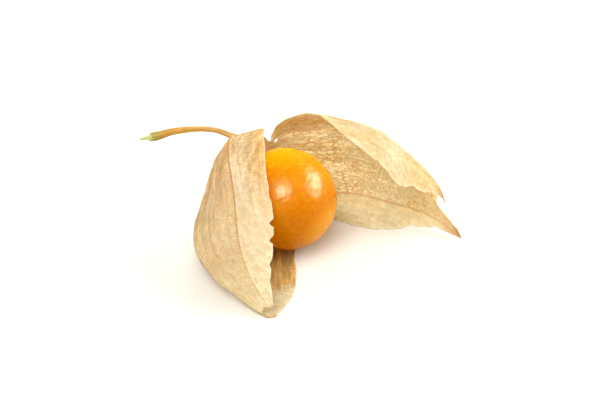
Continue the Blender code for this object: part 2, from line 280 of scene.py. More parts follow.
def ringed_faces(rings: int, sides: int, turned: bool) -> tuple[np.ndarray, np.ndarray]:
    """List the faces of a closed surface of rings, with a fan to one point at either end.

    Args:
        rings: How many rings there are. Their points are numbered one ring after another.
        sides: How many points each ring has. The two ends' points are numbered last.
        turned: Whether the faces go the other way round.

    Returns:
        The faces with four corners, and those with three.
    """
    numbers = np.arange(rings * sides).reshape(rings, sides)
    onward = np.roll(numbers, -1, axis=1)
    quads = np.stack([numbers[:-1], numbers[1:], onward[1:], onward[:-1]], 2).reshape(-1, 4)
    first, last = np.full(sides, rings * sides), np.full(sides, rings * sides + 1)
    fans = np.concatenate([np.stack([first, numbers[0], onward[0]], 1),
                           np.stack([last, onward[-1], numbers[-1]], 1)])
    return (quads[:, [0, 3, 2, 1]], fans[:, [0, 2, 1]]) if turned else (quads, fans)


def grid_normals(grid: np.ndarray) -> np.ndarray:
    """Give unit normals of a grid of points: rows' direction crossed with columns' direction."""
    return unit(np.cross(np.gradient(grid, axis=1), np.gradient(grid, axis=0)))


# --- The husk's plain surface ---

Point = tuple[float, float, float]

# Stands for a distance, in millimetres, from every edge, rib and vein
FAR = 9.0


@dataclass(frozen=True)
class Rib:
    """One line of the husk from the collar to a tip: its angle round the stalk and its points.

    Where it is raised, the paper stands up along it by its strength, shifted by a share of a span.
    """

    degrees: float
    points: tuple[Point, ...]
    raised: bool = True
    strength: float = 0.5
    shift: float = 0.0


@dataclass(frozen=True)
class Span:
    """Each point's span: the rib before it, the share of the way to the next, and their chord."""

    number: np.ndarray
    step: np.ndarray
    chord: np.ndarray


@dataclass
class HuskSheet:
    """The husk as a surface without thickness, with two parameters.

    One parameter is the distance along the husk from the stem. The other is the place round the
    husk, counted in ribs. Each rib is a natural spline through its points, and between two ribs
    the surface is the cubic whose end directions lean towards the neighbouring spans.
    """

    base: Point = (-5.4, 8.8, 14.9)
    stalk: Point = (-0.50, 0.72, 0.48)
    collar_radius: float = 1.6
    collar_lift: float = 0.25
    stations: tuple[float, ...] = (0.0, 1.6, 5.0, 7.6, 10.5, 16.5, 23.0, 29.5, 35.5, 41.0)
    angularity: float = 0.3
    notch_width: float = 0.12
    joined_over: float = 2.0
    ribs: dict[str, Rib] = field(default_factory=lambda: {
        "left_tear": Rib(95, raised=False, points=(
            (-4.0, 7.2, 20.2), (-3.9, 5.8, 20.0), (-3.7, 2.6, 19.2), (-3.3, -4.4, 18.35),
            (-2.2, -9.6, 14.0), (-2.15, -14.0, 9.3), (-2.5, -18.0, 5.0), (-1.8, -21.2, 1.75))),
        "left_keel": Rib(130, strength=1.0, points=(
            (-9.0, 7.2, 18.5), (-10.1, 5.4, 18.5), (-10.1, 2.2, 17.9), (-9.3, -4.8, 17.6),
            (-8.5, -11.2, 14.4), (-7.6, -15.6, 9.6), (-5.3, -18.9, 5.0), (-2.7, -21.4, 1.8))),
        "left_side": Rib(165, strength=0.65, points=(
            (-11.2, 5.4, 16.4), (-12.7, 3.1, 15.6), (-12.7, 0.2, 14.0), (-13.1, -6.0, 12.2),
            (-12.9, -11.2, 9.2), (-10.7, -15.6, 6.3), (-6.8, -19.2, 3.6), (-3.4, -21.75, 1.35))),
        "left_belly": Rib(200, strength=0.4, points=(
            (-11.7, 6.4, 12.8), (-14.0, 3.9, 10.8), (-15.2, 0.6, 8.6), (-16.2, -6.0, 6.4),
            (-14.6, -11.6, 4.2), (-11.0, -16.0, 2.8), (-6.8, -19.4, 1.6), (-3.5, -22.1, 0.85))),
        "left_sole": Rib(230, points=(
            (-10.1, 9.2, 10.4), (-11.7, 7.8, 6.7), (-12.0, 5.0, 3.0), (-9.5, -2.0, 0.3),
            (-8.0, -10.0, 0.3), (-5.8, -15.4, 0.3), (-4.0, -19.2, 0.3), (-2.9, -22.4, 0.4))),
        "left_hem": Rib(258, raised=False, points=(
            (-7.8, 10.9, 9.4), (-8.0, 10.6, 6.0), (-6.2, 8.8, 3.0), (1.3, 2.2, 0.3),
            (2.2, -6.0, 0.3), (1.8, -12.6, 0.3), (0.7, -17.2, 0.3), (-1.6, -22.0, 0.4))),
        "right_hem": Rib(285, raised=False, points=(
            (-4.9, 12.6, 9.2), (-2.2, 12.5, 5.6), (2.0, 10.8, 2.6), (9.5, 7.0, 0.5),
            (17.2, 4.4, 0.3), (23.5, 5.2, 0.4), (28.2, 4.2, 0.6), (32.1, 0.9, 0.4))),
        "right_crease": Rib(310, strength=0.8, points=(
            (-3.3, 13.3, 10.4), (-0.7, 14.0, 7.4), (3.5, 13.2, 4.4), (11.0, 12.4, 3.0),
            (17.5, 10.4, 2.8), (23.2, 8.2, 2.3), (28.0, 5.4, 1.6), (32.2, 1.1, 0.5))),
        "right_back": Rib(332, points=(
            (-2.75, 13.2, 12.0), (-0.4, 14.7, 10.8), (4.0, 15.6, 9.0), (11.0, 15.2, 9.0),
            (17.5, 13.2, 8.0), (23.2, 10.5, 6.2), (27.8, 6.0, 3.6), (32.3, 1.3, 0.7))),
        "right_shoulder": Rib(355, strength=0.3, points=(
            (-2.4, 12.9, 13.2), (-0.6, 14.6, 14.2), (4.4, 16.0, 14.4), (11.0, 15.0, 15.0),
            (17.5, 13.0, 13.5), (23.0, 10.0, 10.4), (27.4, 5.4, 5.5), (32.35, 1.5, 0.95))),
        "right_ridge": Rib(380, strength=0.7, shift=0.12, points=(
            (-2.4, 12.0, 14.5), (-1.4, 13.5, 16.25), (3.8, 14.8, 17.7), (10.0, 12.0, 19.3),
            (16.5, 8.5, 19.0), (22.0, 6.5, 15.3), (26.5, 5.0, 10.9), (29.2, 2.2, 7.2))),
        "right_tear": Rib(405, raised=False, points=(
            (-2.6, 10.6, 15.8), (-2.2, 11.6, 17.8), (2.4, 13.0, 19.8), (9.6, 7.6, 19.3),
            (16.9, 1.9, 15.95), (20.4, 1.5, 11.8), (26.0, 2.6, 9.2), (28.8, 1.8, 6.9))),
    })
    notch_floor: tuple[Point, ...] = ((27.9, 4.9, 6.5), (32.4, 1.7, 1.15))
    notch_roof: tuple[Point, ...] = ((27.2, 5.0, 8.4), (29.5, 2.5, 6.9))
    slits: dict[tuple[str, str], float] = field(default_factory=lambda: {
        ("left_hem", "right_hem"): 6.0,
        ("notch_floor", "notch_roof"): 33.5,
        ("right_tear", "left_tear"): 3.4,
    })

    def __post_init__(self) -> None:
        """Gather the ribs' points, with the notch's edges between the shoulder and the ridge."""
        self.axis = unit(np.array(self.stalk))
        table = {}
        for name, rib in self.ribs.items():
            table[name] = np.array([self.base, self.collar_point(rib.degrees), *rib.points])
            if name == "right_shoulder":
                table["notch_floor"] = table["notch_roof"] = table[name]
        shoulder, ridge = table["right_shoulder"], table["right_ridge"]
        middle, half = 0.5 * (shoulder + ridge), 0.5 * self.notch_width * (ridge - shoulder)
        for name, line, own in (("notch_floor", middle - half, self.notch_floor),
                                ("notch_roof", middle + half, self.notch_roof)):
            table[name] = np.vstack([line[:-len(own)], own])
        self.names = list(table)
        self.table = np.array(list(table.values())).transpose(1, 0, 2)

    def collar_point(self, degrees: float) -> np.ndarray:
        """Give the point of the collar's ring at an angle round the stalk.

        Args:
            degrees: The angle.

        Returns:
            The point, in millimetres.
        """
        sideways = unit(np.cross(self.axis, (0.0, 0.0, 1.0)))
        upwards = np.cross(sideways, self.axis)
        angle = np.radians(degrees)
        outwards = np.cos(angle) * sideways + np.sin(angle) * upwards
        return np.array(self.base) + self.collar_radius * outwards + self.collar_lift * self.axis

    def index(self, name: str) -> int:
        """Give a rib's number."""
        return self.names.index(name)

    def rib_curves(self, rows: np.ndarray) -> np.ndarray:
        """Read every rib at the given distances, as [row, rib, xyz]."""
        return natural_spline(np.array(self.stations), self.table, rows)

    def chords(self, rows: np.ndarray) -> np.ndarray:
        """Give the straight way from every rib to the next one at each row, as [row, rib, xyz]."""
        curves = self.rib_curves(rows)
        return np.roll(curves, -1, axis=1) - curves

    def span(self, rows: np.ndarray, place: np.ndarray) -> Span:
        """Tell between which ribs each [row, column] lies, and how far apart they are there.

        Args:
            rows: The rows' distances along the husk.
            place: Places in ribs round the husk.

        Returns:
            The spans.
        """
        number = np.floor(place).astype(int) % len(self.names)
        lengths = np.linalg.norm(self.chords(rows), axis=2)
        return Span(number, place - np.floor(place), lengths[np.arange(len(rows))[:, None], number])

    def joined_after(self, rib: int, rows: np.ndarray) -> np.ndarray:
        """Tell how far the sheet is still whole between a rib and the next, 0 to 1 by row."""
        start = self.slits.get((self.names[rib], self.names[(rib + 1) % len(self.names)]))
        return np.ones(len(rows)) if start is None else ease((start - rows) / self.joined_over)

    def read(self, rows: np.ndarray, place: np.ndarray) -> np.ndarray:
        """Read points of the surface.

        Between ribs A and B at step s the point is the cubic Hermite curve from A to B. Its end
        directions are a mix of the chord A-B, by the angularity, and of the mean of that chord
        and the neighbouring one, at the chord's length.

        Args:
            rows: Distance along the husk of each row.
            place: Place round the husk of each [row, column].

        Returns:
            Points as [row, column, xyz].
        """
        ribs, chords = self.rib_curves(rows), self.chords(rows)
        count = len(self.names)
        before = np.roll(chords, 1, axis=1)
        joins = np.stack([self.joined_after(rib, rows) for rib in range(count)], axis=1)
        leaving = self.lean(chords, before, np.roll(joins, 1, axis=1))
        arriving = self.lean(before, chords, joins)
        span = self.span(rows, place)
        rib, step = span.number, span.step[..., None]
        row = np.arange(len(rows))[:, None]
        following = (rib + 1) % count
        square, cube = step ** 2, step ** 3
        points = (2.0 * cube - 3.0 * square + 1.0) * ribs[row, rib]
        points += (cube - 2.0 * square + step) * leaving[row, rib]
        points += (3.0 * square - 2.0 * cube) * ribs[row, following]
        points += (cube - square) * arriving[row, following]
        return points

    def lean(self, own: np.ndarray, other: np.ndarray, joined: np.ndarray) -> np.ndarray:
        """Mix a span's chord with its neighbour's where the sheet is whole between them.

        Args:
            own: The span's chords.
            other: The neighbouring span's chords.
            joined: How whole the sheet is between the two, 0 to 1.

        Returns:
            The end directions.
        """
        mean = unit(own + other) * np.linalg.norm(own, axis=2, keepdims=True)
        rounded = (1.0 - self.angularity) * mean + self.angularity * own
        return joined[..., None] * rounded + (1.0 - joined[..., None]) * own


@dataclass
class PaperGrid:
    """A lobe's grid of paper before it is given relief.

    It has the rows' distances along the husk, and for each [row, column] its place in ribs round
    the husk, its point, its distance from the nearest torn edge and its span.
    """

    sheet: HuskSheet
    lobe: Lobe
    rows: np.ndarray
    place: np.ndarray
    points: np.ndarray
    from_tear: np.ndarray

    def __post_init__(self) -> None:
        """Measure each point's distance along the husk, and round it from the middle column."""
        self.span = self.sheet.span(self.rows, self.place)
        self.row = np.broadcast_to(self.rows[:, None], self.place.shape)
        steps = np.linalg.norm(np.diff(self.points, axis=1), axis=2)
        start = np.zeros((len(self.rows), 1))
        self.across = np.concatenate([start, np.cumsum(steps, axis=1)], axis=1)
        self.across -= self.across[:, [self.place.shape[1] // 2]]

    def past(self, rib: str) -> np.ndarray:
        """Count each point's place from a rib."""
        return self.place - self.sheet.index(rib)


# --- Torn edges ---


@dataclass(frozen=True)
class Bite:
    """A piece missing from a torn edge: its middle along the husk, its depth and its half width."""

    at: float
    depth: float
    width: float


@dataclass(frozen=True)
class Hole:
    """A hole worn through the paper: its middle round and along the husk, and its half sizes."""

    across: float
    along: float
    half_across: float
    half_along: float

    def spared(self, paper: PaperGrid) -> np.ndarray:
        """Tell which faces [row, column] have their middle outside the hole's ellipse.

        Args:
            paper: The grid of paper.

        Returns:
            True for each face that stays.
        """
        away = ((paper.across - self.across) / self.half_across) ** 2
        away = away + ((paper.rows[:, None] - self.along) / self.half_along) ** 2
        return 0.25 * (away[:-1, :-1] + away[1:, :-1] + away[1:, 1:] + away[:-1, 1:]) > 1.0


@dataclass
class TornEdges:
    """The husk's torn edges, eaten in by bites, and by small teeth in two sizes.

    The shapes are powers: one rounds a bite's straight sides, and one makes tall teeth rare. Each
    size of teeth has its spacing and its greatest height.
    """

    seed: int = 7
    opening: float = 1.6
    most_eaten: float = 0.3
    bite_shape: float = 0.7
    tooth_shape: float = 1.6
    teeth: tuple[tuple[float, float], ...] = ((1.05, 0.12), (0.36, 0.12))
    bites: dict[str, tuple[Bite, ...]] = field(default_factory=lambda: {
        "left_tear": (Bite(20.6, 0.20, 1.2), Bite(25.2, 0.85, 0.7), Bite(28.2, 0.75, 0.65),
                      Bite(32.4, 0.45, 0.7), Bite(35.5, 0.2, 0.8)),
        "left_hem": (Bite(20.5, 1.0, 3.6), Bite(24.5, 0.2, 0.9), Bite(31.0, 0.15, 1.2),
                     Bite(36.4, 0.3, 0.8)),
        "right_hem": (Bite(17.5, 0.2, 0.8), Bite(20.3, 0.25, 0.9), Bite(23.4, 0.2, 0.7),
                      Bite(28.5, 0.5, 1.6), Bite(31.6, 0.2, 0.7), Bite(34.4, 0.25, 1.0)),
        "right_tear": (Bite(5.4, 0.35, 1.6), Bite(12.6, 0.9, 1.2), Bite(22.4, 0.45, 0.4),
                       Bite(24.6, 0.25, 0.6), Bite(31.8, 0.7, 1.2), Bite(35.2, 0.3, 0.8)),
        "notch_floor": (),
        "notch_roof": (),
    })

    def depth(self, sheet: HuskSheet, name: str, rows: np.ndarray) -> np.ndarray:
        """Give how far a torn edge is eaten in at each row.

        The depth is the sum of the edge's bites, each falling to nothing in a rounded wedge, and
        of small teeth: straight lines between seeded heights at two spacings.

        Args:
            sheet: The husk's surface.
            name: The edge's rib.
            rows: Distance along the husk of each row.

        Returns:
            Depths in millimetres, none below zero.
        """
        random = np.random.default_rng(self.seed + sheet.index(name))
        depth = np.zeros(len(rows))
        for bite in self.bites[name]:
            wedge = np.clip(1.0 - np.abs(rows - bite.at) / bite.width, 0.0, 1.0)
            depth += bite.depth * wedge ** self.bite_shape
        for spacing, height in self.teeth:
            at = np.arange(0.0, sheet.stations[-1] + 2.0 * spacing, spacing)
            tips = random.uniform(0.0, 1.0, len(at)) ** self.tooth_shape
            depth += height * np.interp(rows, at, tips)
        return depth

    def fray(self, sheet: HuskSheet, rows: np.ndarray,
             place: np.ndarray) -> tuple[np.ndarray, np.ndarray]:
        """Draw the columns beside each open slit in from the torn edge.

        Args:
            sheet: The husk's surface.
            rows: Distance along the husk of each row.
            place: Place of each [row, column], before tearing.

        Returns:
            The new places, and each point's distance from the nearest torn edge.
        """
        moved, from_edge = place.copy(), np.full(place.shape, FAR)
        curves = sheet.rib_curves(rows)
        count = len(sheet.names)
        for (ending, starting), slit_start in sheet.slits.items():
            opened = ease((rows - slit_start) / self.opening)
            for name, direction in ((ending, -1), (starting, 1)):
                rib = sheet.index(name)
                neighbour = (rib + direction) % count
                span = np.linalg.norm(curves[:, neighbour] - curves[:, rib], axis=1) + 1e-6
                eaten = self.depth(sheet, name, rows) * opened
                eaten = np.minimum(eaten, self.most_eaten * span) / span
                away = (place - rib) * direction
                # A lobe reaches half a slit past its edge: what is further off is on its other side
                away = np.where(away < -0.6, away + count, away)
                beside = np.clip(1.0 - away, 0.0, 1.0) * (away >= 0.0) * (away <= 1.0)
                moved += direction * eaten[:, None] * beside
                reach = np.where(away >= 0.0, away * span[:, None], 0.0)
                reach = np.where(opened[:, None] > 0.5, reach, FAR)
                from_edge = np.minimum(from_edge, np.where(away <= 1.5, reach, FAR))
        return moved, from_edge


# --- Relief of the paper ---


@dataclass(frozen=True)
class Grain:
    """A noise over the paper: its own draw, its patches' length and width, and where it starts."""

    draw: int
    length: float
    width: float
    start: tuple[float, float] = (0.0, 0.0)

    def read(self, seed: int, along: np.ndarray, across: np.ndarray) -> np.ndarray:
        """Read the noise at places along and round the husk, between -1 and 1."""
        noise = LatticeNoise(seed + self.draw)
        return noise.read(along / self.length + self.start[0], across / self.width + self.start[1])


@dataclass(frozen=True)
class Wrinkle:
    """How far a pattern lifts the paper, in millimetres, and how much light and shade it paints."""

    height: float
    light: float


@dataclass
class Relief:
    """What lifts the paper off its plain surface, and what colours it, each as [row, column].

    Heights are in millimetres: of the middle of the paper, and of ribs and veins on either face.
    The ways are distances to the nearest rib, vein and line of the net. The others run from 0 to
    1: the painted light and shade of the folds, lighter where the paper stands out, how far the net
    is lost beside the upper torn edges, and how dark or light the strands are.
    """

    middle: np.ndarray
    outer: np.ndarray
    inner: np.ndarray
    rib_way: np.ndarray
    vein_way: np.ndarray
    net_way: np.ndarray
    # Painted light and shade of the folds
    fold_light_and_shade: np.ndarray
    smooth: np.ndarray
    streak: np.ndarray


@dataclass(frozen=True)
class Venation:
    """The husk's ribs, its long and side veins and the fine net between them.

    Every line is known by the distance to it. What is added to that distance makes the line
    fainter, because both the relief and the finish draw a line only where the distance is small.
    Each long vein has its share of the span and its reach along the husk.
    """

    seed: int = 7
    rib_width: float = 0.17
    rib_faintness: float = 0.16
    width: float = 0.15
    net_share: float = 0.7
    long_veins: tuple[tuple[float, float], ...] = (
        (0.12, 15.0), (0.27, 24.0), (0.40, 17.0), (0.52, 36.0), (0.66, 16.0), (0.80, 27.0),
        (0.92, 14.0))
    long_wander: float = 0.09
    long_lanes: tuple[float, float] = (3.0, 11.0)
    long_grain: Grain = Grain(11, 2.6, 1.0)
    long_faintness: float = 0.07
    long_fading: float = 0.25
    long_fading_over: float = 5.0
    side_pitch: float = 3.6
    side_slope: float = 1.1
    side_lean: float = 0.72
    side_stagger: float = 0.37
    side_wander: float = 0.9
    side_grain: Grain = Grain(23, 2.2, 1.7)
    side_faintness: float = 0.12
    side_fading: float = 0.3
    side_fading_before: Ramp = Ramp(14.0, 8.0)
    cell: float = 0.9
    cell_stretch: float = 2.8
    cell_stretched_before: Ramp = Ramp(20.0, 16.0)
    net_wander: tuple[float, float] = (0.5, 0.35)
    net_grains: tuple[Grain, Grain] = (Grain(5, 1.9, 1.6), Grain(5, 1.9, 1.8, (40.0, 9.0)))

    def ribs(self, paper: PaperGrid) -> tuple[np.ndarray, np.ndarray]:
        """Give the ribs, which are bells across the raised lines.

        Args:
            paper: The grid of paper.

        Returns:
            Shares of the full rib's height, and distances to the nearest rib.
        """
        bells, way = np.zeros(paper.place.shape), np.full(paper.place.shape, FAR)
        for name, rib in paper.sheet.ribs.items():
            if rib.raised:
                distance = np.abs(paper.past(name) - rib.shift) * paper.span.chord
                bells = np.maximum(bells, rib.strength * bump_of(distance, self.rib_width))
                way = np.minimum(way, distance + self.rib_faintness * (1.0 - rib.strength))
        return bells, way

    def veins(self, paper: PaperGrid) -> np.ndarray:
        """Give the distance to the nearest long or side vein.

        Long veins wander along between the ribs, and each fades out at the end of its reach. Side
        veins leave the ribs aslant at an even pitch, staggered from span to span, and start some
        way from the stem.

        Args:
            paper: The grid of paper.

        Returns:
            Distances in millimetres.
        """
        row, span = paper.row, paper.span
        way = np.full(row.shape, FAR)
        for share, reach in self.long_veins:
            lane = self.long_lanes[0] * span.number + self.long_lanes[1] * share
            line = share + self.long_wander * self.long_grain.read(self.seed, row, lane)
            ended = ease((row - reach + self.long_fading_over) / self.long_fading_over)
            faint = self.long_faintness + self.long_fading * ended
            way = np.minimum(way, np.abs(span.step - line) * span.chord + faint)
        from_rib = np.minimum(span.step, 1.0 - span.step) * span.chord
        wander = self.side_wander * self.side_grain.read(self.seed, row, paper.across)
        phase = (row - self.side_slope * from_rib + wander) / self.side_pitch
        phase = phase + self.side_stagger * span.number
        away = np.abs(phase - np.round(phase)) * self.side_pitch * self.side_lean
        faint = self.side_faintness + self.side_fading * self.side_fading_before.before(row)
        return np.minimum(way, away + faint)

    def net(self, paper: PaperGrid) -> np.ndarray:
        """Give the distance to the nearest line of the fine net.

        The net is the borders of a cell net on shifted coordinates, whose cells are drawn out
        lengthwise near the stem.

        Args:
            paper: The grid of paper.

        Returns:
            Distances in millimetres.
        """
        shifts = [reach * grain.read(self.seed, paper.row, paper.across)
                  for reach, grain in zip(self.net_wander, self.net_grains)]
        stretch = 1.0 + self.cell_stretch * self.cell_stretched_before.before(paper.rows)
        along = np.concatenate([[0.0], np.cumsum(np.diff(paper.rows) / stretch[:-1])])[:, None]
        x, y = paper.across + shifts[0], along + shifts[1]
        return CellNet(self.seed + 3).border_distance(x / self.cell, y / self.cell) * self.cell


@dataclass(frozen=True)
class Wrinkling:
    """The paper's wrinkles: slow crumples, swellings, pleats, puckers and sharp creases.

    Each wrinkle also paints light where the paper rises and shade where it sinks.
    """

    seed: int = 7
    crumple: Wrinkle = Wrinkle(0.17, 0.08)
    crumple_grains: tuple[Grain, Grain] = (Grain(31, 5.0, 4.0), Grain(31, 2.0, 1.7, (50.0, 0.0)))
    swelling: Wrinkle = Wrinkle(0.035, 0.08)
    swell_width: float = 0.42
    pleats: Wrinkle = Wrinkle(0.16, 0.46)
    pleat_grain: Grain = Grain(43, 6.0, 0.62)
    pleated_before: Ramp = Ramp(22.0, 10.0)
    torn_pleats: Wrinkle = Wrinkle(0.05, 0.42)
    torn_grain: Grain = Grain(67, 3.2, 0.42)
    torn_reach: float = 5.0
    torn_before: Ramp = Ramp(31.0, 8.0)
    puckers: Wrinkle = Wrinkle(0.05, 0.14)
    pucker_grain: Grain = Grain(61, 0.75, 0.6)
    creases: Wrinkle = Wrinkle(0.16, 0.24)
    crease_grains: tuple[Grain, Grain] = (Grain(83, 3.6, 2.4), Grain(83, 1.7, 1.2, (31.0, 0.0)))
    crease_wander: float = 0.8
    crease_wander_grain: Grain = Grain(5, 3.0, 3.0, (7.0, 0.0))
    # Middle value of the painted light and shade
    plain: float = 0.448

    def lift(self, paper: PaperGrid, net_way: np.ndarray) -> tuple[np.ndarray, np.ndarray]:
        """Give the height of the wrinkled paper, and its painted light and shade.

        Crumples are slow noise in two sizes. The paper swells between the net's lines, is pleated
        lengthwise near the stem and beside the torn edges, and has small puckers. Creases are
        sharp because they take the size of a noise without its sign.

        Args:
            paper: The grid of paper.
            net_way: Distance of each point from the net's nearest line.

        Returns:
            Heights in millimetres outwards, and painted light and shade from about 0 to 1.
        """
        def read(grain: Grain, across: np.ndarray = paper.across) -> np.ndarray:
            """Read a noise over the grid."""
            return grain.read(self.seed, paper.row, across)

        bent = paper.across + self.crease_wander * read(self.crease_wander_grain)
        sharp = 0.6 - np.abs(read(self.crease_grains[0], bent))
        sharp += 0.5 * (0.5 - np.abs(read(self.crease_grains[1], bent)))
        beside_tear = nearness(paper.from_tear, self.torn_reach) * self.torn_before.before(paper.row)
        patterns = (
            (self.crumple, read(self.crumple_grains[0]) + 0.5 * read(self.crumple_grains[1])),
            (self.swelling, 1.0 - bump_of(net_way, self.swell_width)),
            (self.pleats, read(self.pleat_grain) * self.pleated_before.before(paper.row)),
            (self.torn_pleats, read(self.torn_grain) * beside_tear),
            (self.puckers, read(self.pucker_grain)),
            (self.creases, sharp),
        )
        height = sum(wrinkle.height * pattern for wrinkle, pattern in patterns)
        # Lighter where the paper rises and darker where it sinks: painted light and shade
        return height, self.plain + sum(wrinkle.light * pattern for wrinkle, pattern in patterns)


@dataclass(frozen=True)
class Strands:
    """Darker and lighter strands that follow the ribs, in two finenesses."""

    seed: int = 7
    per_rib: float = 15.0
    finer: float = 1.9
    finer_share: float = 0.6
    grain: Grain = Grain(97, 5.0, 1.0)
    finer_grain: Grain = Grain(97, 2.4, 1.0, (60.0, 0.0))
    contrast: float = 0.42

    def streak(self, paper: PaperGrid) -> np.ndarray:
        """Give the strands over the grid, 0 to 1.

        Args:
            paper: The grid of paper.

        Returns:
            How light the strands are at each point.
        """
        lane = (paper.place + 2.0) * self.per_rib
        noise = self.grain.read(self.seed, paper.row, lane)
        finer = self.finer_grain.read(self.seed, paper.row, self.finer * lane)
        noise = noise + self.finer_share * finer
        return np.clip(0.5 + self.contrast * noise, 0.0, 1.0)


# --- Ageing of the paper, and painted light and shade on it ---


@dataclass(frozen=True)
class Patch:
    """A patch of tone along the husk: its strength, and the ramps at its two ends."""

    strength: float
    starts: Ramp | None = None
    ends: Ramp | None = None

    def over(self, row: np.ndarray) -> np.ndarray:
        """Give the patch's strength at each distance along the husk.

        Args:
            row: Distances along the husk.

        Returns:
            Strengths in the shape of row.
        """
        share = np.full(row.shape, self.strength)
        if self.starts is not None:
            share = share * self.starts.beyond(row)
        if self.ends is not None:
            share = share * self.ends.before(row)
        return share


@dataclass(frozen=True)
class Stripe:
    """A stripe beside a rib: how far past the rib it runs and its half width, in spans."""

    shift: float
    width: float

    def across(self, from_rib: np.ndarray) -> np.ndarray:
        """Give the stripe's bell at places counted from the rib."""
        return bump_of(from_rib - self.shift, self.width)


@dataclass(frozen=True)
class ToneAndPaintedLight:
    """The paper's golden and pale parts: partly its own colour, partly painted light and shade.

    The gold is by the stalk, on the right lobe's far end outside, and by the upper torn edges,
    where on the left lobe it is painted shade of the paper curling away from the light. All
    through the left lobe's hollow it is painted shade, warmed as by light bounced off the berry.
    The pale parts are painted light on the right lobe's hem panel, inside its hood, beside the
    left keel and inside the left lobe's tip, and a painted highlight along the flap's rim. The
    stripe by the right ridge, the flap's broad outside, the left lobe's lower part and the stripe
    by its side rib are paler too.
    """

    golden_stalk: Patch = Patch(0.38, ends=Ramp(17.0, 15.0))
    # By the upper torn edges: the right hood band's own gold, and on the left lobe painted shade
    golden_tear: Patch = Patch(0.5, ends=Ramp(24.0, 8.0))
    golden_tear_reach: float = 4.0
    golden_past_crease: Ramp = Ramp(0.0, 0.3)
    golden_far_end: Patch = Patch(0.45, starts=Ramp(27.5, 5.0))
    # Painted shade all through the left lobe's hollow, warmed as by light bounced off the berry
    painted_shade_hollow: Patch = Patch(1.0, ends=Ramp(32.5, 5.0))
    left_stalk_gain: float = 1.4
    left_tear_shade_gain: float = 1.6
    # Painted light on the right lobe's low hem panel, between its hem and its crease
    painted_light_hem: Patch = Patch(1.0, starts=Ramp(4.0, 6.0))
    painted_light_hem_before: Ramp = Ramp(0.02, 0.15)
    # A painted highlight along the flap's raised torn rim, outside
    painted_highlight_rim: Patch = Patch(0.8, starts=Ramp(14.0, 6.0))
    painted_highlight_rim_width: float = 0.8
    pale_ridge: Patch = Patch(0.8, Ramp(10.0, 4.0), Ramp(34.0, 6.0))
    pale_ridge_stripe: Stripe = Stripe(-0.02, 0.07)
    pale_flap: Patch = Patch(0.5, Ramp(9.0, 6.0), Ramp(32.0, 5.0))
    # Painted light inside the right lobe's hood, near the stem
    painted_light_hood: Patch = Patch(0.8, ends=Ramp(8.5, 2.5))
    # Painted light inside the left lobe towards its tip, where it lies in shade
    painted_light_tip: Patch = Patch(1.0, starts=Ramp(28.0, 4.5))
    # Painted light on the left lobe's panel beside the keel, which faces the light
    painted_light_keel: Patch = Patch(1.0, starts=Ramp(8.0, 9.0))
    painted_light_keel_reach: float = 0.5
    pale_low: Patch = Patch(1.0, starts=Ramp(17.0, 9.0))
    pale_low_by_keel: float = 0.85
    pale_low_elsewhere: float = 0.35
    pale_side: Patch = Patch(0.9, starts=Ramp(8.0, 4.0))
    pale_side_stripe: Stripe = Stripe(0.10, 0.07)

    def gold_and_shade(self, paper: PaperGrid, inner: bool) -> np.ndarray:
        """Give how golden the paper is, partly its own colour and partly painted shade.

        Args:
            paper: The lobe's grid.
            inner: Whether the inner face is meant.

        Returns:
            The gold and painted shade at each point, 0 to 1.
        """
        by_stalk = self.golden_stalk.over(paper.row)
        by_tear = nearness(paper.from_tear, self.golden_tear_reach) * self.golden_tear.over(paper.row)
        if paper.lobe is Lobe.RIGHT:
            by_tear *= self.golden_past_crease.beyond(paper.past("right_crease"))
            elsewhere = 0.0 if inner else self.golden_far_end.over(paper.row)
        else:
            # On the left lobe the gold by the torn edge is strengthened as painted shade
            by_stalk, by_tear = self.left_stalk_gain * by_stalk, self.left_tear_shade_gain * by_tear
            # Inside the left lobe: painted shade all through its hollow
            elsewhere = self.painted_shade_hollow.over(paper.row) if inner else 0.0
        return np.clip(by_stalk + by_tear + elsewhere, 0.0, 1.0)

    def pale_and_lit(self, paper: PaperGrid, inner: bool) -> np.ndarray:
        """Give how pale the paper is, partly its own colour and partly painted light.

        Args:
            paper: The lobe's grid.
            inner: Whether the inner face is meant.

        Returns:
            The paleness at each point, 0 to 1.
        """
        row = paper.row
        if paper.lobe is Lobe.LEFT:
            # Inside the left lobe: painted light towards the tip
            return self.painted_light_tip.over(row) if inner else self.pale_and_lit_left(paper)
        # Painted light over the hem panel, and a paler stripe by the ridge
        hem = self.painted_light_hem_before.before(paper.past("right_crease"))
        ridge = self.pale_ridge_stripe.across(paper.past("right_ridge"))
        pale = np.maximum(hem * self.painted_light_hem.over(row), ridge * self.pale_ridge.over(row))
        if inner:
            # Inside: painted light in the hood
            return np.maximum(pale, self.painted_light_hood.over(row))
        # Painted highlight along the torn rim
        rim = bump_of(paper.from_tear, self.painted_highlight_rim_width) * self.painted_highlight_rim.over(row)
        return np.maximum(np.maximum(pale, rim), self.pale_flap.over(row))

    def pale_and_lit_left(self, paper: PaperGrid) -> np.ndarray:
        """Give how pale the left lobe's outer face is at each point, 0 to 1.

        Beside the keel the paleness is painted light.

        Args:
            paper: The grid of paper.

        Returns:
            The paleness and painted light, as [row, column].
        """
        row, past_keel = paper.row, paper.past("left_keel")
        low = self.pale_low.over(row)
        # Painted light beside the keel, and the paler lower part next to it
        beside = np.maximum(nearness(-past_keel, self.painted_light_keel_reach), self.pale_low_by_keel * low)
        panel = beside * (past_keel < 0.0) * self.painted_light_keel.over(row)
        stripe = self.pale_side_stripe.across(paper.past("left_side")) * self.pale_side.over(row)
        return np.maximum(np.maximum(panel, self.pale_low_elsewhere * low), stripe)


# --- The husk ---


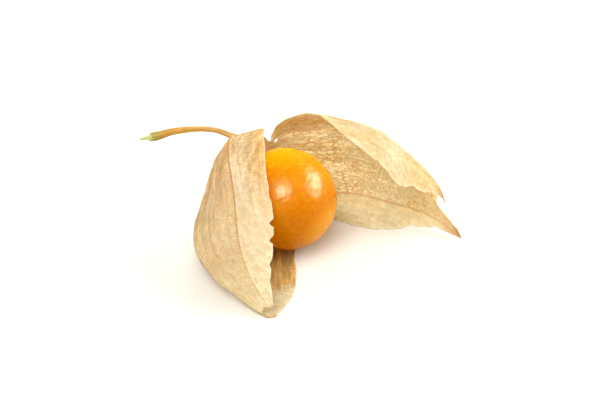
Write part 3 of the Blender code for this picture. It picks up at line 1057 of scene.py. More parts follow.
@dataclass
class Husk:
    """The dry calyx: two lobes of thin ribbed paper that hold together round the stem.

    The sheet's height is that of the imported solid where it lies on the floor, and the sole's is
    that of the thin paper. The inner rib and vein are shares of the outer ones' heights. The
    holes are the one by the right lobe's neck, its notch's wedge and the bite by its tip.
    """

    sheet: HuskSheet = field(default_factory=HuskSheet)
    edges: TornEdges = field(default_factory=TornEdges)
    venation: Venation = Venation()
    wrinkling: Wrinkling = Wrinkling()
    strands: Strands = Strands()
    tone_and_light: ToneAndPaintedLight = ToneAndPaintedLight()
    paper: float = 0.13
    pitch: float = 0.19
    slit_width: float = 2.4
    broad_rows: tuple[float, float] = (10.0, 34.0)
    sheet_height: float = 0.3
    sole_height: float = 0.12
    sole_blend: float = 3.0
    clearance: float = 0.02
    rib_height: float = 0.22
    vein_height: float = 0.04
    inner_rib: float = 0.4
    inner_vein: float = 0.8
    relief_from: Ramp = Ramp(2.2, 3.0)
    relief_before: Ramp = Ramp(41.6, 5.0)
    flattened: float = 0.25
    off_floor: Ramp = Ramp(0.2, 1.6)
    smooth_reach: float = 2.2
    smooth_before: Ramp = Ramp(16.0, 4.0)
    smooth_fading: float = 0.25
    tear_width: float = 0.2
    least_tear: float = 0.3
    pale_tear_from: Ramp = Ramp(15.0, 6.0)
    tip_start: float = 38.0
    browned_from: dict[Lobe, float] = field(
        default_factory=lambda: {Lobe.LEFT: 40.2, Lobe.RIGHT: 34.5})
    tip_closing: dict[Lobe, float] = field(
        default_factory=lambda: {Lobe.LEFT: 0.1, Lobe.RIGHT: 0.62})
    tip_teeth: float = 0.7
    tip_teeth_per_rib: float = 3.1
    holes: tuple[Hole, ...] = (
        Hole(0.95, 6.05, 0.5, 0.42), Hole(9.2, 40.8, 1.95, 3.9), Hole(1.5, 37.6, 2.45, 2.4))
    sharp_degrees: float = 50.0
    seed: int = 7

    def columns(self, lobe: Lobe) -> np.ndarray:
        """Place a lobe's columns evenly over its widest row, half a slit past its two tears.

        Args:
            lobe: The lobe.

        Returns:
            Rising places in ribs round the husk.
        """
        count = len(self.sheet.names)
        broad = np.linspace(*self.broad_rows, 25)
        spans = np.linalg.norm(self.sheet.chords(broad), axis=2).max(axis=0)
        for ending, _ in self.sheet.slits:
            spans[self.sheet.index(ending)] = self.slit_width
        first_right = self.sheet.index("right_hem")
        if lobe is Lobe.LEFT:
            places = np.concatenate([[-0.5], np.arange(0.0, first_right), [first_right - 0.5]])
        else:
            places = np.concatenate([[first_right - 0.5], np.arange(float(first_right), count),
                                     [count - 0.5]])
        numbers = np.floor(places[:-1]).astype(int) % count
        lengths = np.concatenate([[0.0], np.cumsum(spans[numbers] * np.diff(places))])
        evenly = np.linspace(0.0, lengths[-1], int(round(lengths[-1] / self.pitch)) + 1)
        return np.sort(np.union1d(np.interp(evenly, lengths, places), np.floor(places[1:-1])))

    def relief(self, paper: PaperGrid) -> Relief:
        """Gather ribs, veins, wrinkles and strands over a lobe's grid.

        The relief starts past the collar and ends at the tips, and its wrinkles are mostly
        flattened where the husk lies on the floor. Veins and net are lost beside the upper torn
        edges.

        Args:
            paper: The lobe's grid.

        Returns:
            The relief over the grid.
        """
        ribs, rib_way = self.venation.ribs(paper)
        smooth = nearness(paper.from_tear, self.smooth_reach) * self.smooth_before.before(paper.row)
        vein_way = self.venation.veins(paper) + self.smooth_fading * smooth
        net_way = self.venation.net(paper) + self.smooth_fading * smooth
        net = self.venation.net_share * bump_of(net_way, self.venation.width)
        veins = np.maximum(bump_of(vein_way, self.venation.width), net)
        middle, fold_light_and_shade = self.wrinkling.lift(paper, net_way)
        whole = self.relief_from.beyond(paper.row) * self.relief_before.before(paper.row)
        lifted = self.off_floor.beyond(paper.points[..., 2])
        middle = middle * (whole * (self.flattened + (1.0 - self.flattened) * lifted))
        outer = (self.rib_height * ribs + self.vein_height * veins) * whole
        inner_rib, inner_vein = self.inner_rib * self.rib_height, self.inner_vein * self.vein_height
        inner = (inner_rib * ribs + inner_vein * veins) * whole
        streak = self.strands.streak(paper)
        return Relief(middle, outer, inner, rib_way, vein_way, net_way, fold_light_and_shade, smooth, streak)

    def pinch_tips(self, lobe: Lobe, rows: np.ndarray, columns: np.ndarray, grid: np.ndarray) -> None:
        """Draw each tip's last rows together, and shorten its columns by seeded teeth.

        The right lobe has two tips, one on either side of its notch. A shortened column is read
        between two of its own rows.

        Args:
            lobe: Which lobe.
            rows: Distance along the husk of each row.
            columns: Place of each column.
            grid: Points of the surface, which are moved.
        """
        ended = ease((rows - self.tip_start) / (rows[-1] - self.tip_start))
        closing = self.tip_closing[lobe] * ended
        notch = self.sheet.index("notch_floor") + 0.5
        tips = (columns < notch, columns > notch) if lobe is Lobe.RIGHT else (columns < notch,)
        for tip in tips:
            centre = grid[:, tip].mean(axis=1, keepdims=True)
            grid[:, tip] += closing[:, None, None] * (centre - grid[:, tip])
        noise = LatticeNoise(self.seed + 71)
        teeth = 0.5 + 0.5 * noise.read(self.tip_teeth_per_rib * columns, 0.0 * columns)
        wanted = (rows[:, None] - self.tip_teeth * teeth * ended[:, None]) / rows[1]
        low = np.clip(np.floor(wanted).astype(int), 0, len(rows) - 2)
        share, column = (wanted - low)[..., None], np.arange(len(columns))
        grid[:] = grid[low, column] * (1.0 - share) + grid[low + 1, column] * share

    def kept_faces(self, paper: PaperGrid, columns: np.ndarray) -> np.ndarray:
        """Tell which of a grid's faces are paper, and not in an open slit or a hole.

        Args:
            paper: The lobe's grid.
            columns: Place of each column.

        Returns:
            True for each face [row, column] that is kept.
        """
        kept = np.ones((len(paper.rows) - 1, len(columns) - 1), dtype=bool)
        spans = np.floor(0.5 * (columns[:-1] + columns[1:])).astype(int) % len(self.sheet.names)
        for (ending, _), start in self.sheet.slits.items():
            kept[np.ix_(paper.rows[1:] > start, spans == self.sheet.index(ending))] = False
        for hole in self.holes if paper.lobe is Lobe.RIGHT else ():
            kept &= hole.spared(paper)
        return kept

    def faces_apart(self, paper: PaperGrid, relief: Relief) -> tuple[np.ndarray, np.ndarray]:
        """Move the paper's two faces apart along its normals, and lift both clear of the floor.

        Args:
            paper: The lobe's grid.
            relief: Its relief.

        Returns:
            Points of the outer and of the inner face, as [row, column, xyz].
        """
        normal = grid_normals(paper.points)
        normal[0] = self.sheet.axis
        middle = paper.points + normal * relief.middle[..., None]
        outside = middle + normal * (0.5 * self.paper + relief.outer)[..., None]
        inside = middle - normal * (0.5 * self.paper + relief.inner)[..., None]
        lift = np.clip(self.clearance - np.minimum(outside[..., 2], inside[..., 2]), 0.0, None)
        outside[..., 2] += lift
        inside[..., 2] += lift
        return outside, inside

    def build(self, lobe: Lobe) -> bpy.types.Object:
        """Build one lobe as a closed shell of paper, with its outer face, inner face and rims.

        Args:
            lobe: Which lobe.

        Returns:
            The lobe's mesh object, with its map and its painted amounts.
        """
        rows = np.linspace(0.0, self.sheet.stations[-1], int(self.sheet.stations[-1] / self.pitch))
        columns = self.columns(lobe)
        even = np.broadcast_to(columns, (len(rows), len(columns)))
        place, from_tear = self.edges.fray(self.sheet, rows, even)
        grid = self.sheet.read(rows, place)
        self.pinch_tips(lobe, rows, columns, grid)
        low = 1.0 - ease((grid[..., 2] - self.sheet_height) / self.sole_blend)
        grid[..., 2] -= (self.sheet_height - self.sole_height) * low
        paper = PaperGrid(self.sheet, lobe, rows, place, grid, from_tear)
        relief = self.relief(paper)
        outside, inside = self.faces_apart(paper, relief)

        # The first row is the single point that the lobe grows from
        numbers = np.arange(place.size).reshape(place.shape)
        numbers[0] = 0
        kept = self.kept_faces(paper, columns)
        quads, triangles = self.shell_faces(kept, numbers, place.size)
        points = np.concatenate([outside.reshape(-1, 3), inside.reshape(-1, 3)])
        used = np.unique(np.concatenate([quads.ravel(), triangles.ravel()]))
        renumbered = np.zeros(len(points), dtype=int)
        renumbered[used] = np.arange(len(used))
        piece = make_piece(lobe.value, points[used], renumbered[quads], renumbered[triangles])
        piece.data.set_sharp_from_angle(angle=np.radians(self.sharp_degrees))
        for name, (outer, inner) in self.amounts(paper, relief).items():
            paint(piece, name, np.concatenate([outer.ravel(), inner.ravel()])[used])
        lay_map(piece, np.tile(paper.across.ravel(), 2)[used], np.tile(paper.row.ravel(), 2)[used])
        return piece

    def amounts(self, paper: PaperGrid, relief: Relief) -> dict[str, tuple[np.ndarray, np.ndarray]]:
        """Work out every amount that the paper's finish reads.

        Besides the relief's own there are the pale rim of the torn edges, which is faint near the
        right lobe's stem, the brown of the tips, the gold with its painted shade, the paleness with
        its painted light, and the inner face.

        Args:
            paper: The lobe's grid.
            relief: Its relief.

        Returns:
            For each amount's name its values on the outer and on the inner face.
        """
        rim = 1.0
        if paper.lobe is Lobe.RIGHT:
            rim = self.least_tear + (1.0 - self.least_tear) * self.pale_tear_from.beyond(paper.row)
        brown_start = self.browned_from[paper.lobe]
        browned = (paper.row - brown_start) / (self.sheet.stations[-1] - brown_start)
        both = {name: getattr(relief, name)
                for name in ("rib_way", "vein_way", "net_way", "fold_light_and_shade", "smooth", "streak")}
        both["tear"] = rim * bump_of(paper.from_tear, self.tear_width)
        both["tip"] = ease(browned)
        amounts = {name: (values, values) for name, values in both.items()}
        for name, tone in (("gold_and_shade", self.tone_and_light.gold_and_shade), ("pale_and_lit", self.tone_and_light.pale_and_lit)):
            amounts[name] = (tone(paper, inner=False), tone(paper, inner=True))
        amounts["inside"] = (np.zeros(paper.place.shape), np.ones(paper.place.shape))
        return amounts

    @staticmethod
    def shell_faces(kept: np.ndarray, numbers: np.ndarray,
                    other: int) -> tuple[np.ndarray, np.ndarray]:
        """List the faces of a closed shell over a grid whose first row is a single point.

        The outer face takes the grid's points, the inner face takes the points `other` further
        on the other way round, and a rim joins the two along every edge with one kept face.

        Args:
            kept: Which faces [row, column] of the grid are there.
            numbers: Number of the outer point at each [row, column].
            other: How much higher the inner point's number is.

        Returns:
            The faces with four corners, and those with three.
        """
        corners = np.stack(
            [numbers[:-1, :-1], numbers[1:, :-1], numbers[1:, 1:], numbers[:-1, 1:]], axis=2)
        body = corners[1:][kept[1:]]
        cap = corners[0][kept[0]][:, :3]
        edged = np.pad(kept, 1)
        down = edged[1:-1, 1:].astype(int) - edged[1:-1, :-1]
        over = edged[1:, 1:-1].astype(int) - edged[:-1, 1:-1]
        over[0] = 0
        upper, lower = numbers[:-1], numbers[1:]
        left, right = numbers[:, :-1], numbers[:, 1:]
        edges = np.concatenate([
            np.stack([upper[down > 0], lower[down > 0]], 1),
            np.stack([lower[down < 0], upper[down < 0]], 1),
            np.stack([right[over > 0], left[over > 0]], 1),
            np.stack([left[over < 0], right[over < 0]], 1),
        ])
        rim = np.stack([edges[:, 1], edges[:, 0], edges[:, 0] + other, edges[:, 1] + other], 1)
        quads = np.concatenate([body, body[:, ::-1] + other, rim])
        return quads, np.concatenate([cap, cap[:, ::-1] + other])


# --- The fruit ---


@dataclass
class Berry:
    """The fruit: a nearly round berry, its glossy skin uneven in the way of orange peel."""

    radius: float = 8.97
    stretch: float = 1.045
    rest_height: float = 0.95
    columns: int = 400
    rings: int = 200
    lumps: int = 6
    lump_frequency: float = 1.6
    lump_height: float = 0.10
    dimples: int = 60
    dimple_height: float = 0.010
    dimple_width: float = 0.24
    dent_depth: float = 0.7
    dent_angle: float = 0.28
    # Towards where the bright floor is seen reflected, low on the right
    floor_reflection: Point = (0.79, -0.56, -0.30)
    seed: int = 19

    def build(self, axis: np.ndarray) -> bpy.types.Object:
        """Build the fruit.

        The surface is a sphere in latitude and longitude about the stalk's axis, drawn out along
        it by the stretch, with slow lumps and fine shallow dimples added along the radius and a
        bell-shaped dent at the stalk. The unevenness is a sum of waves in space, so that it has
        no seam.

        Args:
            axis: Unit direction of the stalk, which the poles stand on.

        Returns:
            The fruit's mesh object.
        """
        latitude = np.linspace(0.0, np.pi, self.rings + 1)[1:-1, None]
        longitude = np.linspace(0.0, 2.0 * np.pi, self.columns, endpoint=False)[None, :]
        ball = np.stack([np.sin(latitude) * np.cos(longitude), np.sin(latitude) * np.sin(longitude),
                         np.cos(latitude) * np.ones_like(longitude)], axis=-1)
        ball = np.concatenate([ball.reshape(-1, 3), [(0.0, 0.0, 1.0), (0.0, 0.0, -1.0)]])
        sideways = unit(np.cross(axis, (0.0, 0.0, 1.0)))
        frame_of_axis = np.stack([sideways, np.cross(axis, sideways), axis])
        from_stalk = np.arccos(np.clip(ball[:, 2], -1.0, 1.0))
        height = self.lump_height * self.waves(ball, self.lumps, self.lump_frequency, self.seed)
        dimple_frequency = self.radius / self.dimple_width
        height += self.dimple_height * self.waves(ball, self.dimples, dimple_frequency, self.seed + 1)
        height -= self.dent_depth * bump_of(from_stalk, self.dent_angle)
        shape = ball * (self.radius + height)[:, None] * (1.0, 1.0, self.stretch)
        points = shape @ frame_of_axis
        points[:, 2] += self.rest_height - points[:, 2].min()

        faces = ringed_faces(self.rings - 1, self.columns, turned=False)
        piece = make_piece("berry_skin_piece", points, *faces)
        paint(piece, "from_stalk", from_stalk / np.pi)
        # How far each point faces the painted reflection of the floor
        paint(piece, "floor_reflection", unit(ball @ frame_of_axis) @ unit(np.array(self.floor_reflection)))
        return piece

    @staticmethod
    def waves(ball: np.ndarray, count: int, frequency: float, seed: int) -> np.ndarray:
        """Add plane waves of seeded directions and phases over a unit ball, scaled to about 1.

        Args:
            ball: Points of the unit ball.
            count: How many waves.
            frequency: Their mean number of radians over the ball's radius.
            seed: Seed of their directions and phases.

        Returns:
            One height for each point.
        """
        random = np.random.default_rng(seed)
        directions = unit(random.normal(size=(count, 3))) * frequency
        directions *= random.uniform(0.7, 1.4, (count, 1))
        phases = random.uniform(0.0, 2.0 * np.pi, count)
        return np.sin(ball @ directions.T + phases).sum(axis=1) / np.sqrt(0.5 * count)


# --- The stem ---


@dataclass
class Stem:
    """The bent stalk: thin in the middle, thicker at both ends, torn green at the free one.

    The core stands out of the bark by its length. The bark ends on a line that slants, in
    slivers, and thins out over the length of its end.
    """

    points: tuple[Point, ...] = (
        (-27.4, 15.8, 12.7), (-26.4, 15.8, 12.95), (-25.8, 15.8, 13.05), (-24.9, 15.8, 13.25),
        (-23.7, 15.75, 13.6), (-22.4, 15.7, 14.1), (-19.8, 15.5, 14.85), (-15.9, 14.9, 15.5),
        (-12.8, 13.9, 15.75), (-10.0, 12.4, 15.5), (-8.1, 11.3, 15.65), (-6.9, 10.6, 15.9),
    )
    radii: tuple[float, ...] = (0.2, 0.46, 0.68, 0.84, 0.78, 0.68, 0.57, 0.46, 0.48, 0.5, 0.56, 0.64)
    ankle_radius: float = 0.75
    foot_radius: float = 1.0
    foot_gap: float = 0.05
    sides: int = 56
    rows: int = 620
    smoothed_rows: int = 19
    ridges: int = 7
    ridge_height: float = 0.035
    roughness: float = 0.016
    core_lumps: float = 0.22
    core_length: float = 1.75
    core_at: tuple[float, ...] = (0.0, 0.35, 0.9, 1.3, 2.4)
    core_radii: tuple[float, ...] = (0.10, 0.26, 0.24, 0.36, 0.52)
    slant: float = 0.28
    sliver_length: float = 0.75
    sliver_sides: int = 4
    bark_end: float = 0.22
    seed: int = 5

    def build(self, sheet: HuskSheet) -> bpy.types.Object:
        """Build the stem from its torn end to the collar.

        The section is a circle of the path's radius with shallow ridges that turn slowly about
        the path, roughened by noise. At the torn end the bark stops at a slanting line, further
        in between its slivers, and a thinner lumpy core stands out of it.

        Args:
            sheet: The husk, which gives the collar that the stem ends on.

        Returns:
            The stem's mesh object.
        """
        foot = np.array(sheet.base) + (self.foot_gap + sheet.collar_lift) * sheet.axis
        knots = np.array([*self.points, foot + 0.5 * sheet.axis, foot])
        radii = np.array([*self.radii, self.ankle_radius, self.foot_radius])
        lengths = np.concatenate([[0.0], np.cumsum(np.linalg.norm(np.diff(knots, axis=0), axis=1))])
        at = np.linspace(0.0, lengths[-1], self.rows)
        path = natural_spline(lengths, knots, at)
        radius = np.interp(at, lengths, radii)
        kernel = np.hanning(self.smoothed_rows)
        padded = np.pad(radius, self.smoothed_rows // 2, mode="edge")
        radius = np.convolve(padded, kernel / kernel.sum(), mode="valid")
        forward = unit(np.gradient(path, axis=0))
        sideways = unit(np.cross(forward, (0.0, 0.0, 1.0)))
        upward = np.cross(sideways, forward)

        angle = np.linspace(0.0, 2.0 * np.pi, self.sides, endpoint=False)[None, :]
        along = at[:, None]
        grain = LatticeNoise(self.seed, 56)
        turned = angle * self.sides / (2.0 * np.pi)
        rough = grain.read(turned + 0.0 * along, along / 1.3)
        ridged = np.cos(self.ridges * angle + 0.22 * along) + 0.5 * np.cos(3.0 * angle - 0.35 * along)
        bark = radius[:, None] + self.ridge_height * ridged + self.roughness * rough
        random = np.random.default_rng(self.seed)
        slivers = random.uniform(0.0, 1.0, self.sides // self.sliver_sides) ** 1.4
        slivers = slivers.repeat(self.sliver_sides)
        slivers = 0.5 * (slivers + np.roll(slivers, self.sliver_sides // 2))[None, :]
        cut = self.core_length + self.slant * np.sin(angle) + self.sliver_length * slivers
        barked = ease((along - cut) / self.bark_end)
        thread = np.interp(along, self.core_at, self.core_radii)
        thread = thread * (1.0 + self.core_lumps * grain.read(turned / 2.0, along / 0.35))
        section = barked * bark + (1.0 - barked) * np.minimum(thread, 0.94 * bark)
        outward = np.cos(angle)[..., None] * sideways[:, None]
        outward = outward + np.sin(angle)[..., None] * upward[:, None]
        rings = path[:, None] + section[..., None] * outward

        points = np.concatenate([rings.reshape(-1, 3), path[[0, -1]]])
        faces = ringed_faces(self.rows, self.sides, turned=True)
        piece = make_piece("stem_bark_piece", points, *faces)
        travelled = np.concatenate([np.repeat(at, self.sides), at[[0, -1]]])
        # Painted shade in the grooves between the ridges
        groove_shade = np.concatenate([(0.5 - 0.33 * ridged).ravel(), [0.5, 0.5]])
        paint(piece, "travelled", travelled)
        paint(piece, "groove_shade", groove_shade)
        paint(piece, "core", np.concatenate([(1.0 - barked).ravel(), [1.0, 0.0]]))
        turned_at = np.broadcast_to(angle, section.shape).ravel()
        lay_map(piece, np.concatenate([turned_at, [0.0, 0.0]]), travelled)
        return piece


# --- Finishes ---

Colour = tuple[float, float, float]
Socket = bpy.types.NodeSocket


class Graph:
    """A node tree, with short ways to add nodes and join them."""

    def __init__(self, tree: bpy.types.NodeTree) -> None:
        """Keep the tree."""
        self.tree = tree

    def add(self, kind: str, **settings: object) -> bpy.types.Node:
        """Add a node.

        Args:
            kind: The node's type, without its "ShaderNode" start.
            settings: Values for the node's own properties.

        Returns:
            The node.
        """
        node = self.tree.nodes.new("ShaderNode" + kind)
        for name, value in settings.items():
            setattr(node, name, value)
        return node

    def feed(self, socket: Socket, value: object) -> None:
        """Join an output to a socket, or set the socket where the value is a number or colour.

        Args:
            socket: The input.
            value: The output, number or colour.
        """
        if isinstance(value, Socket):
            self.tree.links.new(value, socket)
        else:
            socket.default_value = (*value, 1.0) if socket.type == "RGBA" else value

    def amount(self, name: str) -> Socket:
        """Read a painted amount."""
        return self.add("Attribute", attribute_name=name).outputs["Fac"]

    def math(self, operation: str, first: object, second: object) -> Socket:
        """Work out one operation on two values.

        Args:
            operation: The operation.
            first: First value.
            second: Second value.

        Returns:
            The output.
        """
        node = self.add("Math", operation=operation)
        self.feed(node.inputs[0], first)
        self.feed(node.inputs[1], second)
        return node.outputs[0]

    def product(self, first: object, *others: object) -> Socket:
        """Multiply values with each other, in their order.

        Args:
            first: First value.
            others: The further values.

        Returns:
            Their product.
        """
        for other in others:
            first = self.math("MULTIPLY", first, other)
        return first

    def spread(self, value: object, low: float, high: float, start: float = 0.0,
               stop: float = 1.0) -> Socket:
        """Turn the range low to high into start to stop, with a smooth step and held at the ends.

        Args:
            value: What to turn.
            low: Value that gives the start.
            high: Value that gives the stop.
            start: Result at low.
            stop: Result at high.

        Returns:
            The output.
        """
        node = self.add("MapRange", interpolation_type="SMOOTHSTEP")
        for socket, number in zip(node.inputs, (value, low, high, start, stop)):
            self.feed(socket, number)
        return node.outputs[0]

    def mix(self, share: object, first: object, second: object, blend: str = "MIX") -> Socket:
        """Mix two colours.

        Args:
            share: Share of the second colour.
            first: First colour.
            second: Second colour.
            blend: How the second is laid over the first.

        Returns:
            The output.
        """
        node = self.add("Mix", data_type="RGBA", blend_type=blend)
        self.feed(node.inputs[0], share)
        self.feed(node.inputs[6], first)
        self.feed(node.inputs[7], second)
        return node.outputs[2]

    def tinted(self, colour: object, tone: object) -> Socket:
        """Multiply a colour by a tone or another colour."""
        return self.mix(1.0, colour, tone, "MULTIPLY")

    def ramp(self, value: object, stops: tuple[tuple[float, Colour], ...]) -> Socket:
        """Turn a value into a colour by stops along it.

        Args:
            value: What to turn.
            stops: Places from 0 to 1, with the colour at each.

        Returns:
            The output.
        """
        node = self.add("ValToRGB")
        points = node.color_ramp.elements
        while len(points) < len(stops):
            points.new(1.0)
        for point, (place, colour) in zip(points, stops):
            point.position, point.color = place, (*colour, 1.0)
        self.feed(node.inputs[0], value)
        return node.outputs[0]

    def stretched(self, vector: object, scale: tuple[float, float, float]) -> Socket:
        """Scale a pattern's coordinates.

        Args:
            vector: The coordinates.
            scale: The factor along each axis.

        Returns:
            The scaled coordinates.
        """
        node = self.add("Mapping")
        self.feed(node.inputs["Vector"], vector)
        node.inputs["Scale"].default_value = scale
        return node.outputs[0]

    def warped(self, vector: object, scale: float, reach: float) -> Socket:
        """Shift a pattern's coordinates by a noise.

        Args:
            vector: The coordinates.
            scale: The noise's scale.
            reach: How far the noise shifts them.

        Returns:
            The shifted coordinates.
        """
        noise = self.add("TexNoise")
        self.feed(noise.inputs["Vector"], vector)
        noise.inputs["Scale"].default_value = scale
        shift = self.add("VectorMath", operation="MULTIPLY_ADD")
        self.feed(shift.inputs[0], noise.outputs["Color"])
        shift.inputs[1].default_value = (reach, reach, reach)
        self.feed(shift.inputs[2], vector)
        return shift.outputs[0]

    def bump(self, height: object, depth: float) -> Socket:
        """Turn a height into a normal.

        Args:
            height: The height, about 0 to 1.
            depth: What a height of 1 stands for, in metres.

        Returns:
            The output.
        """
        node = self.add("Bump")
        self.feed(node.inputs["Height"], height)
        node.inputs["Distance"].default_value = depth
        return node.outputs[0]

    def place_group(self, group: bpy.types.NodeTree, **values: object) -> bpy.types.Node:
        """Place a node group.

        Args:
            group: The group.
            values: Value or output for each of its inputs, by the input's name.

        Returns:
            The group's node.
        """
        node = self.add("Group", node_tree=group)
        for name, value in values.items():
            self.feed(node.inputs[name], value)
        return node


def new_group(name: str, inputs: tuple[str, ...], outputs: tuple[str, ...]
              ) -> tuple[Graph, bpy.types.Node, bpy.types.Node]:
    """Make an empty node group that takes a vector and some numbers, and gives numbers.

    Args:
        name: The group's name.
        inputs: Names of the numbers that it takes after its vector.
        outputs: Names of the numbers that it gives.

    Returns:
        The group's graph, and its nodes of inputs and of outputs.
    """
    group = bpy.data.node_groups.new(name, "ShaderNodeTree")
    group.interface.new_socket("Vector", in_out="INPUT", socket_type="NodeSocketVector")
    for way, names in (("INPUT", inputs), ("OUTPUT", outputs)):
        for socket in names:
            group.interface.new_socket(socket, in_out=way, socket_type="NodeSocketFloat")
    given, result = group.nodes.new("NodeGroupInput"), group.nodes.new("NodeGroupOutput")
    return Graph(group), given, result


def mottle_group() -> bpy.types.NodeTree:
    """Make the effect of soft patches in two sizes, which every finish has.

    Returns:
        The group. Patches is 0 to 1, and Specks is the share of small dark specks.
    """
    graph, given, result = new_group("mottle", ("Size", "Contrast"), ("Patches", "Specks"))
    broad = graph.add("TexNoise")
    graph.feed(broad.inputs["Vector"], given.outputs["Vector"])
    graph.feed(broad.inputs["Scale"], given.outputs["Size"])
    graph.feed(broad.inputs["Detail"], 5.0)
    graph.feed(broad.inputs["Roughness"], 0.6)
    centred = graph.math("SUBTRACT", broad.outputs[0], 0.5)
    contrasted = graph.product(centred, given.outputs["Contrast"])
    graph.feed(result.inputs["Patches"], graph.math("ADD", contrasted, 0.5))
    fine = graph.add("TexNoise")
    graph.feed(fine.inputs["Vector"], given.outputs["Vector"])
    graph.feed(fine.inputs["Scale"], graph.product(given.outputs["Size"], 9.0))
    graph.feed(fine.inputs["Detail"], 2.0)
    graph.feed(result.inputs["Specks"], graph.spread(fine.outputs[0], 0.58, 0.74))
    return graph.tree


def fibre_group() -> bpy.types.NodeTree:
    """Make the effect of fibres that run lengthwise, which the paper and the stem have.

    Returns:
        The group. Fibres is 0 to 1, from a noise drawn out along the map's second direction.
    """
    graph, given, result = new_group("fibres", ("Fineness",), ("Fibres",))
    noise = graph.add("TexNoise")
    graph.feed(noise.inputs["Vector"], graph.stretched(given.outputs["Vector"], (1.0, 0.12, 1.0)))
    graph.feed(noise.inputs["Scale"], given.outputs["Fineness"])
    graph.feed(noise.inputs["Detail"], 3.0)
    graph.feed(result.inputs["Fibres"], noise.outputs[0])
    return graph.tree


def new_material(name: str) -> tuple[bpy.types.Material, Graph, bpy.types.Node]:
    """Make a material with its Principled shader.

    Args:
        name: The material's name.

    Returns:
        The material, its graph and its shader.
    """
    material = bpy.data.materials.new(name)
    material.use_nodes = True
    return material, Graph(material.node_tree), material.node_tree.nodes["Principled BSDF"]


@dataclass(frozen=True)
class PaperPatterns:
    """The paper's map and distance along the husk, its patterns and its painted amounts."""

    flat: Socket
    along: Socket
    patches: Socket
    specks: Socket
    blotches: Socket
    strands: Socket
    shaded_creases: Socket
    inside: Socket
    pale_and_lit: Socket
    gold_and_shade: Socket
    streak: Socket


